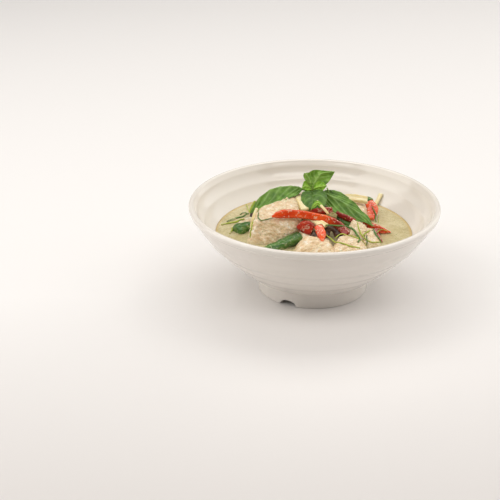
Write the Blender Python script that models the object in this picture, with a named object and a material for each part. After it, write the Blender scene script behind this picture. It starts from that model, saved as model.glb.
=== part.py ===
"""Thai green curry in its footed bowl.

A flared bowl on a plain foot ring, filled with coconut curry sauce up to a
level line, with the pieces that stand out of it: chicken, green beans, strips
of red pepper, bamboo shoot and eggplant, and a sprig of basil on top.

Frame: the bowl's axis is +Z, the origin is under its foot on the axis, and
the front of the serving looks to -Y. Sizes are named in millimetres.
"""

import math

import bmesh
import bpy
import numpy as np
from mathutils import Vector, noise
from mathutils.bvhtree import BVHTree

MM = 0.001

# ---------------------------------------------------------------- bowl sizes
SEGMENTS = 40
RIM_RADIUS = 90.0
RIM_HEIGHT = 65.6
WALL = 3.8
FOOT_RADIUS = 39.7
FOOT_WALL = 4.0
FOOT_HEIGHT = 13.2
RECESS_DEPTH = 11.0
FLOOR_HEIGHT = 16.0
FLOOR_TURN = 4.5
BODY_BASE_RADIUS = 46.5
BODY_BASE_HEIGHT = 14.2
BODY_FLARE = 1.234
BODY_BEND = -0.00728
LIP_HEIGHT = 4.8
LIP_BEAD = 1.7
OUTER_RIDGES = ((20.0, 0.35), (30.0, 0.4), (38.5, 0.7), (47.0, 0.4))
RIDGE_FADE = 6.0
RIDGE_STEP = 1.4
INNER_CRESTS = (43.0, 53.0, 61.5)
SCALLOP_DEPTH = 0.7
NOTCH_ANGLE = math.radians(28.9)
NOTCH_WIDTH = 12.5
NOTCH_HEIGHT = 4.0

# ---------------------------------------------------------- filling and gaps
SAUCE_LEVEL = 42.6
GAP = 0.32
SMALL_CHUNKS = ("chicken_nub", "chicken_sunk")
CHUNK_FOOT = 37.0
NUB_FOOT = 44.0
LEAF_THICKNESS = 0.8
LARGE_LEAF = 9.0
# Each try at cleaning a cut: the distance under which points merge, and the
# angle under which faces count as one.
CLEAN_UPS = (
    (0.01, math.radians(0.2)),
    (0.002, math.radians(0.2)),
    (0.0005, math.radians(0.02)),
)

# -------------------------------------------------------- driving food sizes
BEAN_RADIUS = 3.6
THICK_BEAN_RADIUS = 4.1
PEPPER_THICKNESS = 2.8
BAMBOO_THICKNESS = 2.4
BAMBOO_WIDE = 4.0
STEM_RADIUS = 1.5


def clear_scene():
    for old in list(bpy.data.objects):
        bpy.data.objects.remove(old, do_unlink=True)


def material(name, color, roughness, coat=0.0):
    """A Principled material in linear colour."""
    made = bpy.data.materials.new(name)
    made.use_nodes = True
    shader = made.node_tree.nodes["Principled BSDF"]
    shader.inputs["Base Color"].default_value = (*color, 1.0)
    shader.inputs["Roughness"].default_value = roughness
    shader.inputs["Metallic"].default_value = 0.0
    shader.inputs["Coat Weight"].default_value = coat
    made.diffuse_color = (*color, 1.0)
    return made


def finished(name, bm, look):
    """Turns a mesh in millimetres into a named object in metres."""
    bmesh.ops.remove_doubles(bm, verts=bm.verts, dist=1e-5)
    bmesh.ops.recalc_face_normals(bm, faces=bm.faces)
    bmesh.ops.scale(bm, vec=(MM, MM, MM), verts=bm.verts)
    mesh = bpy.data.meshes.new(name)
    bm.to_mesh(mesh)
    bm.free()
    mesh.shade_smooth()
    mesh.set_sharp_from_angle(angle=math.radians(40.0))
    mesh.materials.append(look)
    made = bpy.data.objects.new(name, mesh)
    bpy.context.scene.collection.objects.link(made)
    return made


# ------------------------------------------------------------ turned bodies
def turned(profile):
    """Revolves a profile that starts and ends on the axis."""
    bm = bmesh.new()
    rings = []
    for radius, height in profile:
        if radius < 1e-6:
            rings.append([bm.verts.new((0.0, 0.0, height))])
            continue
        ring = []
        for step in range(SEGMENTS):
            turn = math.tau * step / SEGMENTS
            ring.append(bm.verts.new((radius * math.cos(turn), radius * math.sin(turn), height)))
        rings.append(ring)
    for low, high in zip(rings, rings[1:]):
        for step in range(SEGMENTS):
            after = (step + 1) % SEGMENTS
            if len(low) == 1:
                bm.faces.new((low[0], high[after], high[step]))
            elif len(high) == 1:
                bm.faces.new((low[step], low[after], high[0]))
            else:
                bm.faces.new((low[step], low[after], high[after], high[step]))
    return bm


def smoothstep(x):
    x = min(max(x, 0.0), 1.0)
    return x * x * (3.0 - 2.0 * x)


def body_radius(z):
    """The flare of the outer wall without its ridges."""
    rise = z - BODY_BASE_HEIGHT
    return BODY_BASE_RADIUS + BODY_FLARE * rise + BODY_BEND * rise * rise


def outer_radius(z):
    """The outer wall: each throwing ridge steps out and fades upwards."""
    radius = body_radius(z)
    for height, proud in OUTER_RIDGES:
        step = smoothstep((z - height) / RIDGE_STEP + 0.5)
        radius += proud * step * math.exp(-max(z - height, 0.0) / RIDGE_FADE)
    return radius


def inner_radius(z):
    """The inner wall: parallel to the flare, scalloped between its crests."""
    slope = BODY_FLARE + 2.0 * BODY_BEND * (z - BODY_BASE_HEIGHT)
    radius = body_radius(z) - WALL * math.sqrt(1.0 + slope * slope)
    for low, high in zip(INNER_CRESTS, INNER_CRESTS[1:]):
        if low < z < high:
            radius += SCALLOP_DEPTH * math.sin(math.pi * (z - low) / (high - low))
    return radius


def inner_floor():
    """The inside below the sauce line: down the wall, round the turn, to the floor."""
    points = [(inner_radius(z), z) for z in (INNER_CRESTS[0], 32.0, FLOOR_HEIGHT + FLOOR_TURN)]
    turn_start = points[-1][0]
    points.append((turn_start - 1.1 * FLOOR_TURN, FLOOR_HEIGHT + 0.3 * FLOOR_TURN))
    return points + [(turn_start - 2.6 * FLOOR_TURN, FLOOR_HEIGHT)]


def bowl_profile():
    inner_foot = FOOT_RADIUS - FOOT_WALL
    points = [(0.0, RECESS_DEPTH), (inner_foot - 1.6, RECESS_DEPTH)]
    points += [(inner_foot, 0.7), (inner_foot + 0.8, 0.0), (FOOT_RADIUS - 0.8, 0.0), (FOOT_RADIUS, 0.8)]
    points += [(FOOT_RADIUS + 0.5, FOOT_HEIGHT - 1.8), (FOOT_RADIUS + 2.0, FOOT_HEIGHT - 0.3)]
    points += [(BODY_BASE_RADIUS - 1.2, FOOT_HEIGHT + 0.2), (BODY_BASE_RADIUS, BODY_BASE_HEIGHT)]
    stations = []
    for height, _ in OUTER_RIDGES:
        stations += [height - 0.5 * RIDGE_STEP, height + 0.5 * RIDGE_STEP]
    stations += [25.0, 54.0]
    points += [(outer_radius(z), z) for z in sorted(stations)]
    lip_foot = RIM_HEIGHT - LIP_HEIGHT
    points += [(outer_radius(lip_foot - 1.0), lip_foot - 1.0)]
    points += [(outer_radius(lip_foot) + 0.6 * LIP_BEAD, lip_foot + 0.3)]
    points += [(RIM_RADIUS, RIM_HEIGHT - 0.4 * LIP_HEIGHT)]
    points += [(RIM_RADIUS - 1.8, RIM_HEIGHT), (RIM_RADIUS - 3.8, RIM_HEIGHT - 0.5)]
    top = INNER_CRESTS[-1]
    points += [(inner_radius(top + 1.8), top + 1.8)]
    for low, high in zip(reversed(INNER_CRESTS[:-1]), reversed(INNER_CRESTS[1:])):
        points += [(inner_radius(high), high), (inner_radius(0.5 * (low + high)), 0.5 * (low + high))]
    points += inner_floor()
    return points + [(0.0, FLOOR_HEIGHT)]


def notch_cutter():
    """The drain notch's rounded arch, as a bar through one side of the foot."""
    bm = bmesh.new()
    outline = [(-0.5 * NOTCH_WIDTH, -2.0), (-0.5 * NOTCH_WIDTH, 0.3)]
    for step in range(1, 8):
        turn = math.pi * step / 8
        rise = (NOTCH_HEIGHT - 0.3) * math.sin(turn) ** 0.8
        outline.append((-0.5 * NOTCH_WIDTH * math.cos(turn), 0.3 + rise))
    outline += [(0.5 * NOTCH_WIDTH, 0.3), (0.5 * NOTCH_WIDTH, -2.0)]
    ends = []
    for reach in (FOOT_RADIUS - 2.2 * FOOT_WALL, FOOT_RADIUS + FOOT_WALL):
        out = Vector((-math.sin(NOTCH_ANGLE), -math.cos(NOTCH_ANGLE), 0.0))
        along = Vector((math.cos(NOTCH_ANGLE), -math.sin(NOTCH_ANGLE), 0.0))
        ends.append([bm.verts.new(out * reach + along * x + Vector((0.0, 0.0, z))) for x, z in outline])
    count = len(outline)
    for step in range(count):
        after = (step + 1) % count
        bm.faces.new((ends[0][step], ends[0][after], ends[1][after], ends[1][step]))
    bm.faces.new(list(reversed(ends[0])))
    bm.faces.new(ends[1])
    return bm


# --------------------------------------------------------------- food shapes
def spline(points, samples):
    """Catmull-Rom curve through the points, at evenly spaced parameters."""
    knots = [Vector(p) for p in points]
    knots = [2 * knots[0] - knots[1]] + knots + [2 * knots[-1] - knots[-2]]
    found = []
    for step in range(samples):
        place = (len(points) - 1) * step / (samples - 1)
        span = min(int(place), len(points) - 2)
        t = place - span
        a, b, c, d = knots[span : span + 4]
        bend = (2 * a - 5 * b + 4 * c - d) * t * t + (3 * b - a - 3 * c + d) * t**3
        found.append(0.5 * (2 * b + (c - a) * t + bend))
    return found


def frames(curve, face):
    """Place, direction, face normal and side of each point on a curve."""
    found = []
    for i, place in enumerate(curve):
        ahead = (curve[min(i + 1, len(curve) - 1)] - curve[max(i - 1, 0)]).normalized()
        normal = (Vector(face) - ahead * Vector(face).dot(ahead)).normalized()
        found.append((place, ahead, normal, ahead.cross(normal)))
    return found


def skinned(rings):
    """Closes a row of rings of points into one body with flat ends."""
    bm = bmesh.new()
    made = [[bm.verts.new(p) for p in ring] for ring in rings]
    count = len(made[0])
    for low, high in zip(made, made[1:]):
        for i in range(count):
            j = (i + 1) % count
            bm.faces.new((low[i], low[j], high[j], high[i]))
    bm.faces.new(list(reversed(made[0])))
    bm.faces.new(made[-1])
    bmesh.ops.recalc_face_normals(bm, faces=bm.faces)
    return bm


def strip(path, widths, thickness, face, rings=8):
    """A cut strip: a flat band with softened edges along a smooth curve."""
    curve = spline(path, rings)
    spread = np.interp(np.linspace(0, 1, rings), np.linspace(0, 1, len(widths)), widths)
    sections = []
    for (place, _, normal, side), width in zip(frames(curve, face), spread):
        half = 0.5 * width
        edge = min(0.3 * thickness, 0.4 * half)
        outline = ((-half, 0.0), (-half + edge, 0.5), (half - edge, 0.5))
        outline += ((half, 0.0), (half - edge, -0.5), (-half + edge, -0.5))
        sections.append([place + side * x + normal * (y * thickness) for x, y in outline])
    return skinned(sections)


def pod(path, radius, rings=6, sides=8, swell=0.06):
    """A length of bean: a round pod with slight swellings and cut ends."""
    sections = []
    for i, (place, _, normal, side) in enumerate(frames(spline(path, rings), (0, 0, 1))):
        size = radius * (1.0 + swell * math.sin(2.1 * i))
        ring = []
        for step in range(sides):
            turn = math.tau * (step + 0.5) / sides
            ring.append(place + side * (size * math.cos(turn)) + normal * (size * math.sin(turn)))
        sections.append(ring)
    return skinned(sections)


def chunk(foot, top, foot_z, cuts, roundness=0.35, rough=0.5, seed=0):
    """A knife-cut piece: its foot's four corners (x, y) at foot_z, its top's four
    corners (x, y, z), both from front left, counter-clockwise, then rounded."""
    corners = [Vector((x, y, foot_z)) for x, y in foot] + [Vector(p) for p in top]
    bm = bmesh.new()
    bmesh.ops.create_cube(bm, size=2.0)
    bmesh.ops.subdivide_edges(bm, edges=bm.edges, cuts=cuts - 1, use_grid_fill=True)
    signs = ((-1, -1), (1, -1), (1, 1), (-1, 1))
    for vert in bm.verts:
        p = vert.co
        q = p.lerp(p.normalized(), roundness)
        place = Vector((0.0, 0.0, 0.0))
        for level in (0, 1):
            up = 0.5 * (1.0 + q.z if level else 1.0 - q.z)
            for corner, (sx, sy) in enumerate(signs):
                share = 0.25 * (1.0 + sx * q.x) * (1.0 + sy * q.y) * up
                place += corners[4 * level + corner] * share
        vert.co = place
    bm.normal_update()
    shift = Vector((13.1 * seed, 7.7 * seed, 3.3 * seed))
    moved = [(vert, vert.normal * (rough * noise.noise(vert.co * 0.16 + shift))) for vert in bm.verts]
    for vert, offset in moved:
        vert.co += offset
    return bm


def leaf(midline, width, face, fold, cup=0.12):
    """A basil leaf as a thin solid: broad near its base, pointed at its tip.

    fold is how far its halves drop from the midrib, as a part of their width.
    """
    stations, across = (7, 4) if width > LARGE_LEAF else (5, 2)
    places = frames(spline(midline, stations), face)
    grid = []
    for i, (place, ahead, normal, side) in enumerate(places):
        s = i / (stations - 1)
        half = max(0.5 * width * (math.sin(math.pi * s**0.72) ** 0.85) * (1.0 - 0.25 * s), 0.7)
        row = []
        for j in range(across + 1):
            t = 2.0 * j / across - 1.0
            drop = -fold * abs(t) * half + cup * half * (1.0 - t * t)
            row.append(place + side * (half * t * math.sqrt(max(1.0 - fold * fold, 0.1))) + normal * drop)
        grid.append(row)
    bm = bmesh.new()
    sheets = []
    for offset in (0.5, -0.5):
        sheets.append([])
        for row, (_, _, normal, _) in zip(grid, places):
            sheets[-1].append([bm.verts.new(p + normal * (offset * LEAF_THICKNESS)) for p in row])
    upper, lower = sheets
    for i in range(stations - 1):
        for j in range(across):
            bm.faces.new((upper[i][j], upper[i][j + 1], upper[i + 1][j + 1], upper[i + 1][j]))
            bm.faces.new((lower[i][j], lower[i + 1][j], lower[i + 1][j + 1], lower[i][j + 1]))
        for j in (0, across):
            bm.faces.new((upper[i][j], upper[i + 1][j], lower[i + 1][j], lower[i][j]))
    for i in (0, stations - 1):
        for j in range(across):
            bm.faces.new((upper[i][j], upper[i][j + 1], lower[i][j + 1], lower[i][j]))
    bmesh.ops.recalc_face_normals(bm, faces=bm.faces)
    return bm


# ------------------------------------------------------- fitting the pieces
def helper(tool):
    """Marks an object as a cutter or a part to be joined."""
    tool.hide_render = True
    tool.display_type = "WIRE"
    return tool


def boolean(target, tool, operation, solver):
    """Replaces the target's mesh with its Boolean with the tool."""
    cut = target.modifiers.new("cut", "BOOLEAN")
    cut.operation = operation
    cut.solver = solver
    cut.object = tool
    graph = bpy.context.evaluated_depsgraph_get()
    result = bpy.data.meshes.new_from_object(target.evaluated_get(graph), depsgraph=graph)
    target.modifiers.clear()
    target.data = result


def combined(target, tools, operation):
    """Cuts the tools from the target, or joins them to it, into one closed body.

    MANIFOLD takes over only where the exact result is empty or isn't closed."""
    start = target.data
    for solver in ("EXACT", "MANIFOLD"):
        target.data = start
        for tool in tools:
            boolean(target, tool, operation, solver)
        if tidied(target):
            return


def largest_body(bm):
    """Deletes all but the largest connected body of a mesh."""
    left = set(bm.verts)
    bodies = []
    while left:
        body = {left.pop()}
        edge = list(body)
        while edge:
            near = {e.other_vert(v) for v in edge for e in v.link_edges} & left
            left -= near
            body |= near
            edge = list(near)
        bodies.append(body)
    bodies.sort(key=len, reverse=True)
    for body in bodies[1:]:
        bmesh.ops.delete(bm, geom=list(body), context="VERTS")


def tidied(target):
    """Leaves a cut mesh as one body of triangles, and says whether it is closed."""
    for merge, flat in CLEAN_UPS:
        bm = bmesh.new()
        bm.from_mesh(target.data)
        bmesh.ops.remove_doubles(bm, verts=bm.verts, dist=merge * MM)
        bmesh.ops.dissolve_degenerate(bm, edges=bm.edges, dist=merge * MM)
        largest_body(bm)
        bmesh.ops.dissolve_limit(bm, angle_limit=flat, verts=bm.verts, edges=bm.edges)
        bmesh.ops.triangulate(bm, faces=bm.faces)
        bmesh.ops.recalc_face_normals(bm, faces=bm.faces)
        closed = bool(bm.faces) and all(edge.is_manifold for edge in bm.edges)
        if closed:
            bm.to_mesh(target.data)
        bm.free()
        if closed:
            return True
    return False


def grown(piece):
    """A copy of a piece, larger by the gap that neighbours keep."""
    mesh = piece.data.copy()
    bm = bmesh.new()
    bm.from_mesh(mesh)
    bm.normal_update()
    moved = [(v, v.normal * (GAP * MM * min(v.calc_shell_factor(), 2.0))) for v in bm.verts]
    for vert, offset in moved:
        vert.co += offset
    bm.to_mesh(mesh)
    bm.free()
    copy = bpy.data.objects.new(piece.name + "_grown", mesh)
    bpy.context.scene.collection.objects.link(copy)
    return helper(copy)


def tree(piece):
    """The piece's faces, for finding what it meets."""
    bm = bmesh.new()
    bm.from_mesh(piece.data)
    found = BVHTree.FromBMesh(bm)
    bm.free()
    return found


def cut_by(piece, envelopes):
    """Cuts a piece back from each whole, grown neighbour that it meets."""
    before = tree(piece)
    met = [envelope for envelope in envelopes if before.overlap(tree(envelope))]
    if met:
        combined(piece, met, "DIFFERENCE")


def fit_together(pieces):
    """Each piece gives way to those before it in the list, which keep their shape.

    Returns the grown copies, made before anything was cut."""
    envelopes = [grown(piece) for piece in pieces]
    for place, piece in enumerate(pieces):
        cut_by(piece, envelopes[:place])
    return envelopes


# -------------------------------------------------------------------- pieces
def make_bowl(looks):
    bowl = finished("bowl", turned(bowl_profile()), looks["bowl"])
    cutter = helper(finished("notch_cutter", notch_cutter(), looks["bowl"]))
    combined(bowl, [cutter], "DIFFERENCE")
    return bowl


def make_sauce(looks):
    """The sauce fills the bowl to its level, a gap clear of the wall."""
    profile = [(0.0, FLOOR_HEIGHT + GAP)]
    profile += [(radius - 1.3 * GAP, height + GAP) for radius, height in reversed(inner_floor()[1:])]
    profile.append((inner_radius(SAUCE_LEVEL) - GAP * 1.3, SAUCE_LEVEL))
    profile.append((0.0, SAUCE_LEVEL))
    return finished("curry_sauce", turned(profile), looks["sauce"])


def make_chicken(looks):
    """Each piece has the four corners of its foot and the four of its top."""
    blocks = {
        "chicken_left": (
            ((-48, -29), (-10, -28), (-10, 9), (-45, 8)),
            ((-42, -19, 60), (-9, -16, 61.5), (-11, 11, 68), (-34, 4, 64.5)),
        ),
        "chicken_front": (
            ((-21, -48), (18, -49), (15, -26), (-15, -24)),
            ((-12, -41, 48.5), (12, -43, 47.5), (8, -29, 50.5), (-7, -27.5, 53.5)),
        ),
        "chicken_right_low": (
            ((7, -48), (40, -45), (37, -25), (13, -22)),
            ((11.5, -42, 47), (33, -42, 47.5), (31, -28, 51.5), (17, -26.5, 52.5)),
        ),
        "chicken_right_high": (
            ((17, -28), (38, -28), (40, -8), (20, -4)),
            ((21.5, -23, 51), (34, -24, 50), (37.5, -12, 53.5), (27, -9.5, 59.5)),
        ),
        "chicken_right_far": (
            ((29, -36), (50, -32), (46, -13), (33, -10)),
            ((34, -29, 47.5), (46, -26, 45), (43, -14, 51), (35.5, -12, 53.5)),
        ),
        "chicken_nub": (
            ((-13, -29), (-2, -30), (-1, -17), (-13, -16)),
            ((-11, -24.5, 49.5), (-4.5, -25, 49.5), (-3.5, -18.5, 53), (-11, -17.5, 52)),
        ),
        "chicken_sunk": (
            ((-59, 7), (-42, 5), (-41, 24), (-53, 28)),
            ((-56, 9, 43.8), (-44, 8, 45), (-43, 21, 45.4), (-51.5, 24, 44)),
        ),
        "chicken_centre": (
            ((-14, 4), (14, 0), (18, 30), (-14, 34)),
            ((-10, 6, 63), (10, 4, 61), (11, 24, 65), (-9, 26, 66)),
        ),
        "chicken_back": (
            ((18, 12), (41, 8), (46, 36), (18, 42)),
            ((21, 14, 56), (37, 12, 53), (40, 33, 53), (21, 34, 55)),
        ),
        "chicken_rear": (
            ((-28, 23), (5, 29), (2, 55), (-26, 52)),
            ((-22, 28, 55), (-2, 33, 57), (-3, 47, 51), (-21, 45, 50)),
        ),
    }
    made = {}
    for seed, (name, (foot, top)) in enumerate(blocks.items()):
        cuts = 2 if name in SMALL_CHUNKS else 3
        foot_z = NUB_FOOT if name == "chicken_nub" else CHUNK_FOOT
        body = chunk(foot, top, foot_z, cuts, seed=seed)
        made[name] = finished(name, body, looks["chicken"])
    return made


def make_beans(looks):
    """Lengths of bean, each along its middle line."""
    paths = {
        "bean_left": ((-56, -2.6, 43.2), (-49, 1.6, 43.9), (-41.5, 6, 44.6)),
        "bean_front": ((-36, -37, 42.2), (-24, -29.8, 45.2), (-10.8, -21.6, 48.0)),
        "bean_middle": ((14.5, 0, 54), (21.5, -4.4, 52.2), (28, -8.6, 49.5)),
        "bean_back": ((31, 36, 51.6), (38, 38, 51), (45.4, 38.5, 49)),
        "bean_rear": ((-34, 34, 44.4), (-27, 44, 45.6), (-17, 52, 44)),
    }
    made = {}
    for name, path in paths.items():
        radius = THICK_BEAN_RADIUS if name == "bean_front" else BEAN_RADIUS
        made[name] = finished(name, pod(path, radius), looks["bean"])
    return made


def make_peppers(looks):
    """Each strip has its middle line, its widths along it, the way its skin
    faces and its number of rings."""
    standing = (-0.05, -0.9, 0.45)
    lying = (0.0, -0.45, 0.9)
    strips = {
        "pepper_long": (
            ((-30.6, -18.6, 62), (-24, -18.2, 63.8), (-13, -17.4, 63.6), (-2, -16.2, 61.4),
             (9, -15.4, 58.2), (18, -17.6, 53.8), (22.4, -22.4, 49.6)),
            (1.4, 6.4, 6.2, 5.6, 5.6, 6.2, 6.4, 6.0), standing, 12,
        ),
        "pepper_square": (
            ((-13, -20, 54.4), (-7.4, -20.4, 55), (-1.8, -21.8, 53.2)),
            (2.4, 9.4, 10.4, 8.4), standing, 6,
        ),
        "pepper_wedge": (((2.4, -21.4, 55.8), (4, -28.4, 53), (4.4, -35, 49.4)), (6.4, 7.6, 1.6), lying, 6),
        "pepper_under_leaf": (
            ((-3, -5, 61.2), (4.5, -5.6, 61.2), (12.6, -3.4, 60.6)),
            (4.4, 5.4, 4.6), standing, 6,
        ),
        "pepper_behind_leaf": (
            ((15.6, -4, 58.8), (22, -6.4, 56.4), (29, -9, 54.2)),
            (3.6, 4.6, 3.6), standing, 6,
        ),
        "pepper_right": (
            ((35, -3, 50), (42, -4.4, 48), (48.6, -4.4, 45.4), (55.4, -4, 43.4)),
            (5, 6, 5.4, 1), standing, 8,
        ),
        "pepper_sliver": (((43.6, -7, 47.2), (45.2, -14, 45), (47.8, -21, 42.8)), (3.4, 3.2, 1.4), lying, 7),
        "pepper_back": (((42.6, 36, 50.4), (44.6, 27.6, 48.4), (42.4, 19, 44)), (7, 9.4, 6), standing, 7),
        "pepper_rear": (
            ((-36, 22, 52), (-26, 33, 55.6), (-12, 40, 53.4), (2, 48, 47)),
            (2, 5.8, 6, 4), (0, 0.6, 0.8), 8,
        ),
    }
    made = {}
    for name, (path, widths, face, rings) in strips.items():
        body = strip(path, widths, PEPPER_THICKNESS, face, rings)
        made[name] = finished(name, body, looks["pepper"])
    return made


def make_bamboo(looks):
    lying = (0.1, -0.55, 0.83)
    strips = {
        "bamboo_left": (((-12.6, 18, 66.4), (-10.4, 8, 64.6), (-6.6, -5, 61)), (5.4, 6.4, 6), lying, 5),
        "bamboo_middle": (((-4.6, -12, 59.4), (1, -17.4, 57.8), (6.8, -23, 56)), (6, 6.6, 7), lying, 5),
        "bamboo_back": (((20, 25, 58.4), (31, 26, 58), (40.4, 26.4, 56)), (6, 7, 6.4), lying, 5),
        "bamboo_wall": (
            ((46.8, 44.6, 40.6), (50, 49.6, 45), (53.4, 54.6, 49.8)),
            (3.8, 3.6, 3.8), (-0.6, -0.6, 0.6), 5,
        ),
        "bamboo_rim": (
            ((-45, -7, 47.6), (-43.8, -4.4, 54), (-41, -0.6, 61)),
            (2.6, 3, 2.6), (-0.5, -0.8, 0.2), 5,
        ),
        "bamboo_strand": (
            ((2, -0.6, 66.6), (5.4, -6.4, 64.4), (9.4, -12.6, 61.6)),
            (1.6, 2.2, 1.8), lying, 5,
        ),
        "bamboo_rear": (((12, 38, 57), (9, 46, 52.6), (5, 56, 44.6)), (5, 6, 6), (0, 0.5, 0.85), 5),
    }
    made = {}
    for name, (path, widths, face, rings) in strips.items():
        thickness = BAMBOO_THICKNESS if max(widths) > BAMBOO_WIDE else 0.6 * BAMBOO_THICKNESS
        made[name] = finished(name, strip(path, widths, thickness, face, rings), looks["bamboo"])
    return made


def make_eggplant(looks):
    facing = (0, -0.7, 0.7)
    strips = {
        "eggplant_curl": (
            ((6.4, -21.4, 48), (8.2, -17.6, 52.4), (12.2, -16.8, 53.8), (15.6, -18.6, 51.6),
             (16.6, -21.4, 48)),
            (6.4, 7, 7.4, 7, 6), (0.0, -0.35, 0.9), 9, 2.2,
        ),
        "eggplant_flesh": (
            ((8, -4.6, 57.4), (12, -5.6, 57.2), (15.6, -6.4, 56.2)),
            (4.4, 6, 5), facing, 5, 4.0,
        ),
        "eggplant_dark": (
            ((-3.4, -21, 48.6), (1.4, -22.4, 49.6), (5.6, -23.4, 48)),
            (6, 7, 5), facing, 5, 5.0,
        ),
        "eggplant_sliver": (
            ((-41.8, 31, 52.6), (-43.4, 27, 48), (-44.4, 22.6, 42)),
            (2.6, 3, 4.4), (-0.3, -0.8, 0.4), 5, 2.0,
        ),
    }
    made = {}
    for name, (path, widths, face, rings, thickness) in strips.items():
        made[name] = finished(name, strip(path, widths, thickness, face, rings), looks["eggplant"])
    return made


def make_sprig(looks):
    """Every leaf meets the stem's head, so the sprig joins into one body."""
    head = Vector((-0.1, 12.0, 70.0))
    up_front = (0.0, -0.6, 0.8)
    leaves = (
        # left, right, front, top, behind, and the young leaves of the head
        (((-1, 12.5, 70), (-12, 14.4, 69.8), (-22, 14.4, 67.8), (-31, 13.4, 63.4),
          (-38.8, 13, 57.6), (-45, 13, 52.4)),
         23.0, (-0.1, -0.78, 0.62), 0.4),
        (((1, 11, 70), (9, 7.4, 69.6), (19, 2.4, 67), (28.6, -2, 62),
          (36, -5.4, 56.8), (42, -9.4, 52.4)),
         21.0, (0.25, -0.6, 0.75), 0.36),
        (((0, 11, 70), (-0.4, 6, 69), (0, 0.4, 65), (0.6, -4, 59.6)), 23.0, (0.0, -0.8, 0.6), 0.25),
        (((0, 12, 70), (0.8, 13.6, 74.6), (5, 15.4, 79.4), (15.8, 16.6, 82.6)),
         19.0, (-0.1, -0.9, 0.45), 0.16),
        (((1, 12.6, 70), (10, 16, 70), (18, 17.6, 68), (26, 17.6, 64.4)), 8.0, (0.1, 0.75, 0.65), 0.3),
        (((0, 12, 70), (-3.6, 13, 72), (-7.4, 13.6, 73.6)), 7.0, up_front, 0.3),
        (((0, 12, 70), (-2.4, 15, 75.4), (-6.6, 17, 79.4)), 7.0, up_front, 0.3),
        (((0, 11.6, 70), (3.4, 10.6, 71.4), (7, 10.4, 72.2)), 5.0, up_front, 0.25),
        (((0, 11, 69), (1.6, 4, 66), (3, -3, 65.6), (2.4, -8, 63.2)), 8.0, (0.2, -0.3, 0.9), 0.5),
    )
    path = ((0.4, 13.4, 60.6), (0.2, 12.6, 66), (head.x, head.y, head.z + 0.8))
    stem = pod(path, STEM_RADIUS, rings=4, swell=0.0)
    sprig = finished("basil_sprig", stem, looks["basil"])
    blades = []
    for number, (midline, width, face, fold) in enumerate(leaves):
        blade = leaf(midline, width, face, fold)
        blades.append(helper(finished("leaf_%d" % number, blade, looks["basil"])))
    combined(sprig, blades, "UNION")
    return sprig


def main():
    clear_scene()
    looks = {
        "bowl": material("glossy_white_bowl", (0.80, 0.77, 0.72), 0.18, 0.4),
        "sauce": material("green_curry_sauce", (0.42, 0.38, 0.20), 0.3),
        "chicken": material("poached_chicken", (0.60, 0.45, 0.28), 0.45),
        "bean": material("cooked_green_bean", (0.05, 0.16, 0.03), 0.3),
        "pepper": material("red_pepper_flesh", (0.65, 0.06, 0.01), 0.25),
        "bamboo": material("bamboo_shoot", (0.72, 0.60, 0.32), 0.4),
        "eggplant": material("thai_eggplant", (0.10, 0.07, 0.03), 0.35),
        "basil": material("basil_leaf", (0.06, 0.20, 0.03), 0.4),
    }
    bowl = make_bowl(looks)
    sauce = make_sauce(looks)
    sprig = make_sprig(looks)
    peppers = make_peppers(looks)
    bamboo = make_bamboo(looks)
    eggplant = make_eggplant(looks)
    beans = make_beans(looks)
    chicken = make_chicken(looks)
    pieces = [bowl, sprig, *peppers.values(), *bamboo.values(), *eggplant.values()]
    pieces += [*beans.values(), *chicken.values()]
    envelopes = fit_together(pieces)
    cut_by(sauce, envelopes[1:])
    for tool in [made for made in bpy.data.objects if made.hide_render]:
        bpy.data.objects.remove(tool, do_unlink=True)


main()
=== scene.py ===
# %% [markdown]
# Thai green curry in a footed bowl.
#
# A white melamine bowl holds pale coconut curry up to a level line. Poached chicken, green beans,
# red pepper, bamboo shoot and eggplant stand out of it, and a sprig of basil lies on top. The solid
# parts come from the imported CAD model, which gives the sizes and places that they start from. This
# lesson gives each of them a fine surface and a finish, and adds what is too small for CAD: leaf
# veins, shreds of lime leaf, herb flecks and the oily rim of the sauce.

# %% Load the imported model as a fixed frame
import math
import random

import bmesh
import bpy
import numpy as np
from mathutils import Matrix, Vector, noise
from mathutils.bvhtree import BVHTree


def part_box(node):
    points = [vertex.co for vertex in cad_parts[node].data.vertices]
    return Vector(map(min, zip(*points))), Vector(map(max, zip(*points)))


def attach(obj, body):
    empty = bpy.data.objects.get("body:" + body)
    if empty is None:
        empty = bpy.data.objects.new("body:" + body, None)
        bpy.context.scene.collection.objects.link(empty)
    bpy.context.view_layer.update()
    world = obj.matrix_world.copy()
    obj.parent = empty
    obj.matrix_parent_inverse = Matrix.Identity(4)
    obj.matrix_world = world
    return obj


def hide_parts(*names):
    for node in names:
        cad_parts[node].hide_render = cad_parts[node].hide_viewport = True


MM = 0.001

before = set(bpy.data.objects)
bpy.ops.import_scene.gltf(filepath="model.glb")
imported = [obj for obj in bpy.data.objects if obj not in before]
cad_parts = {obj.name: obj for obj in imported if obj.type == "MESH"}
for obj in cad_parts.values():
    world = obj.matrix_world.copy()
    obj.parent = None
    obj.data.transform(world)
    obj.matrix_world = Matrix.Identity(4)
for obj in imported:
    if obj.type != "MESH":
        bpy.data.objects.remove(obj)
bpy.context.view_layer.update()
bowl_low, bowl_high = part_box("bowl")
sauce_low, sauce_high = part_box("curry_sauce")
print("bowl", [round(1000 * size, 1) for size in bowl_high - bowl_low], "mm")
print("sauce", round(1000 * (sauce_high.z - sauce_low.z), 1), "mm deep")

# %% [markdown]
# A few small tools serve every material. One turns the hex colours that designers use into the
# linear values that Cycles works in. One turns a pattern's size in millimetres into a texture's
# scale. The sizes were matched and not measured, so their decimals mean nothing. One tool
# adds a node with its settings and its links in one call, so a material reads like a recipe.

# %% Colour and node tools
RANGE_LIMITS = ("From Min", "From Max", "To Min", "To Max")


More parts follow.
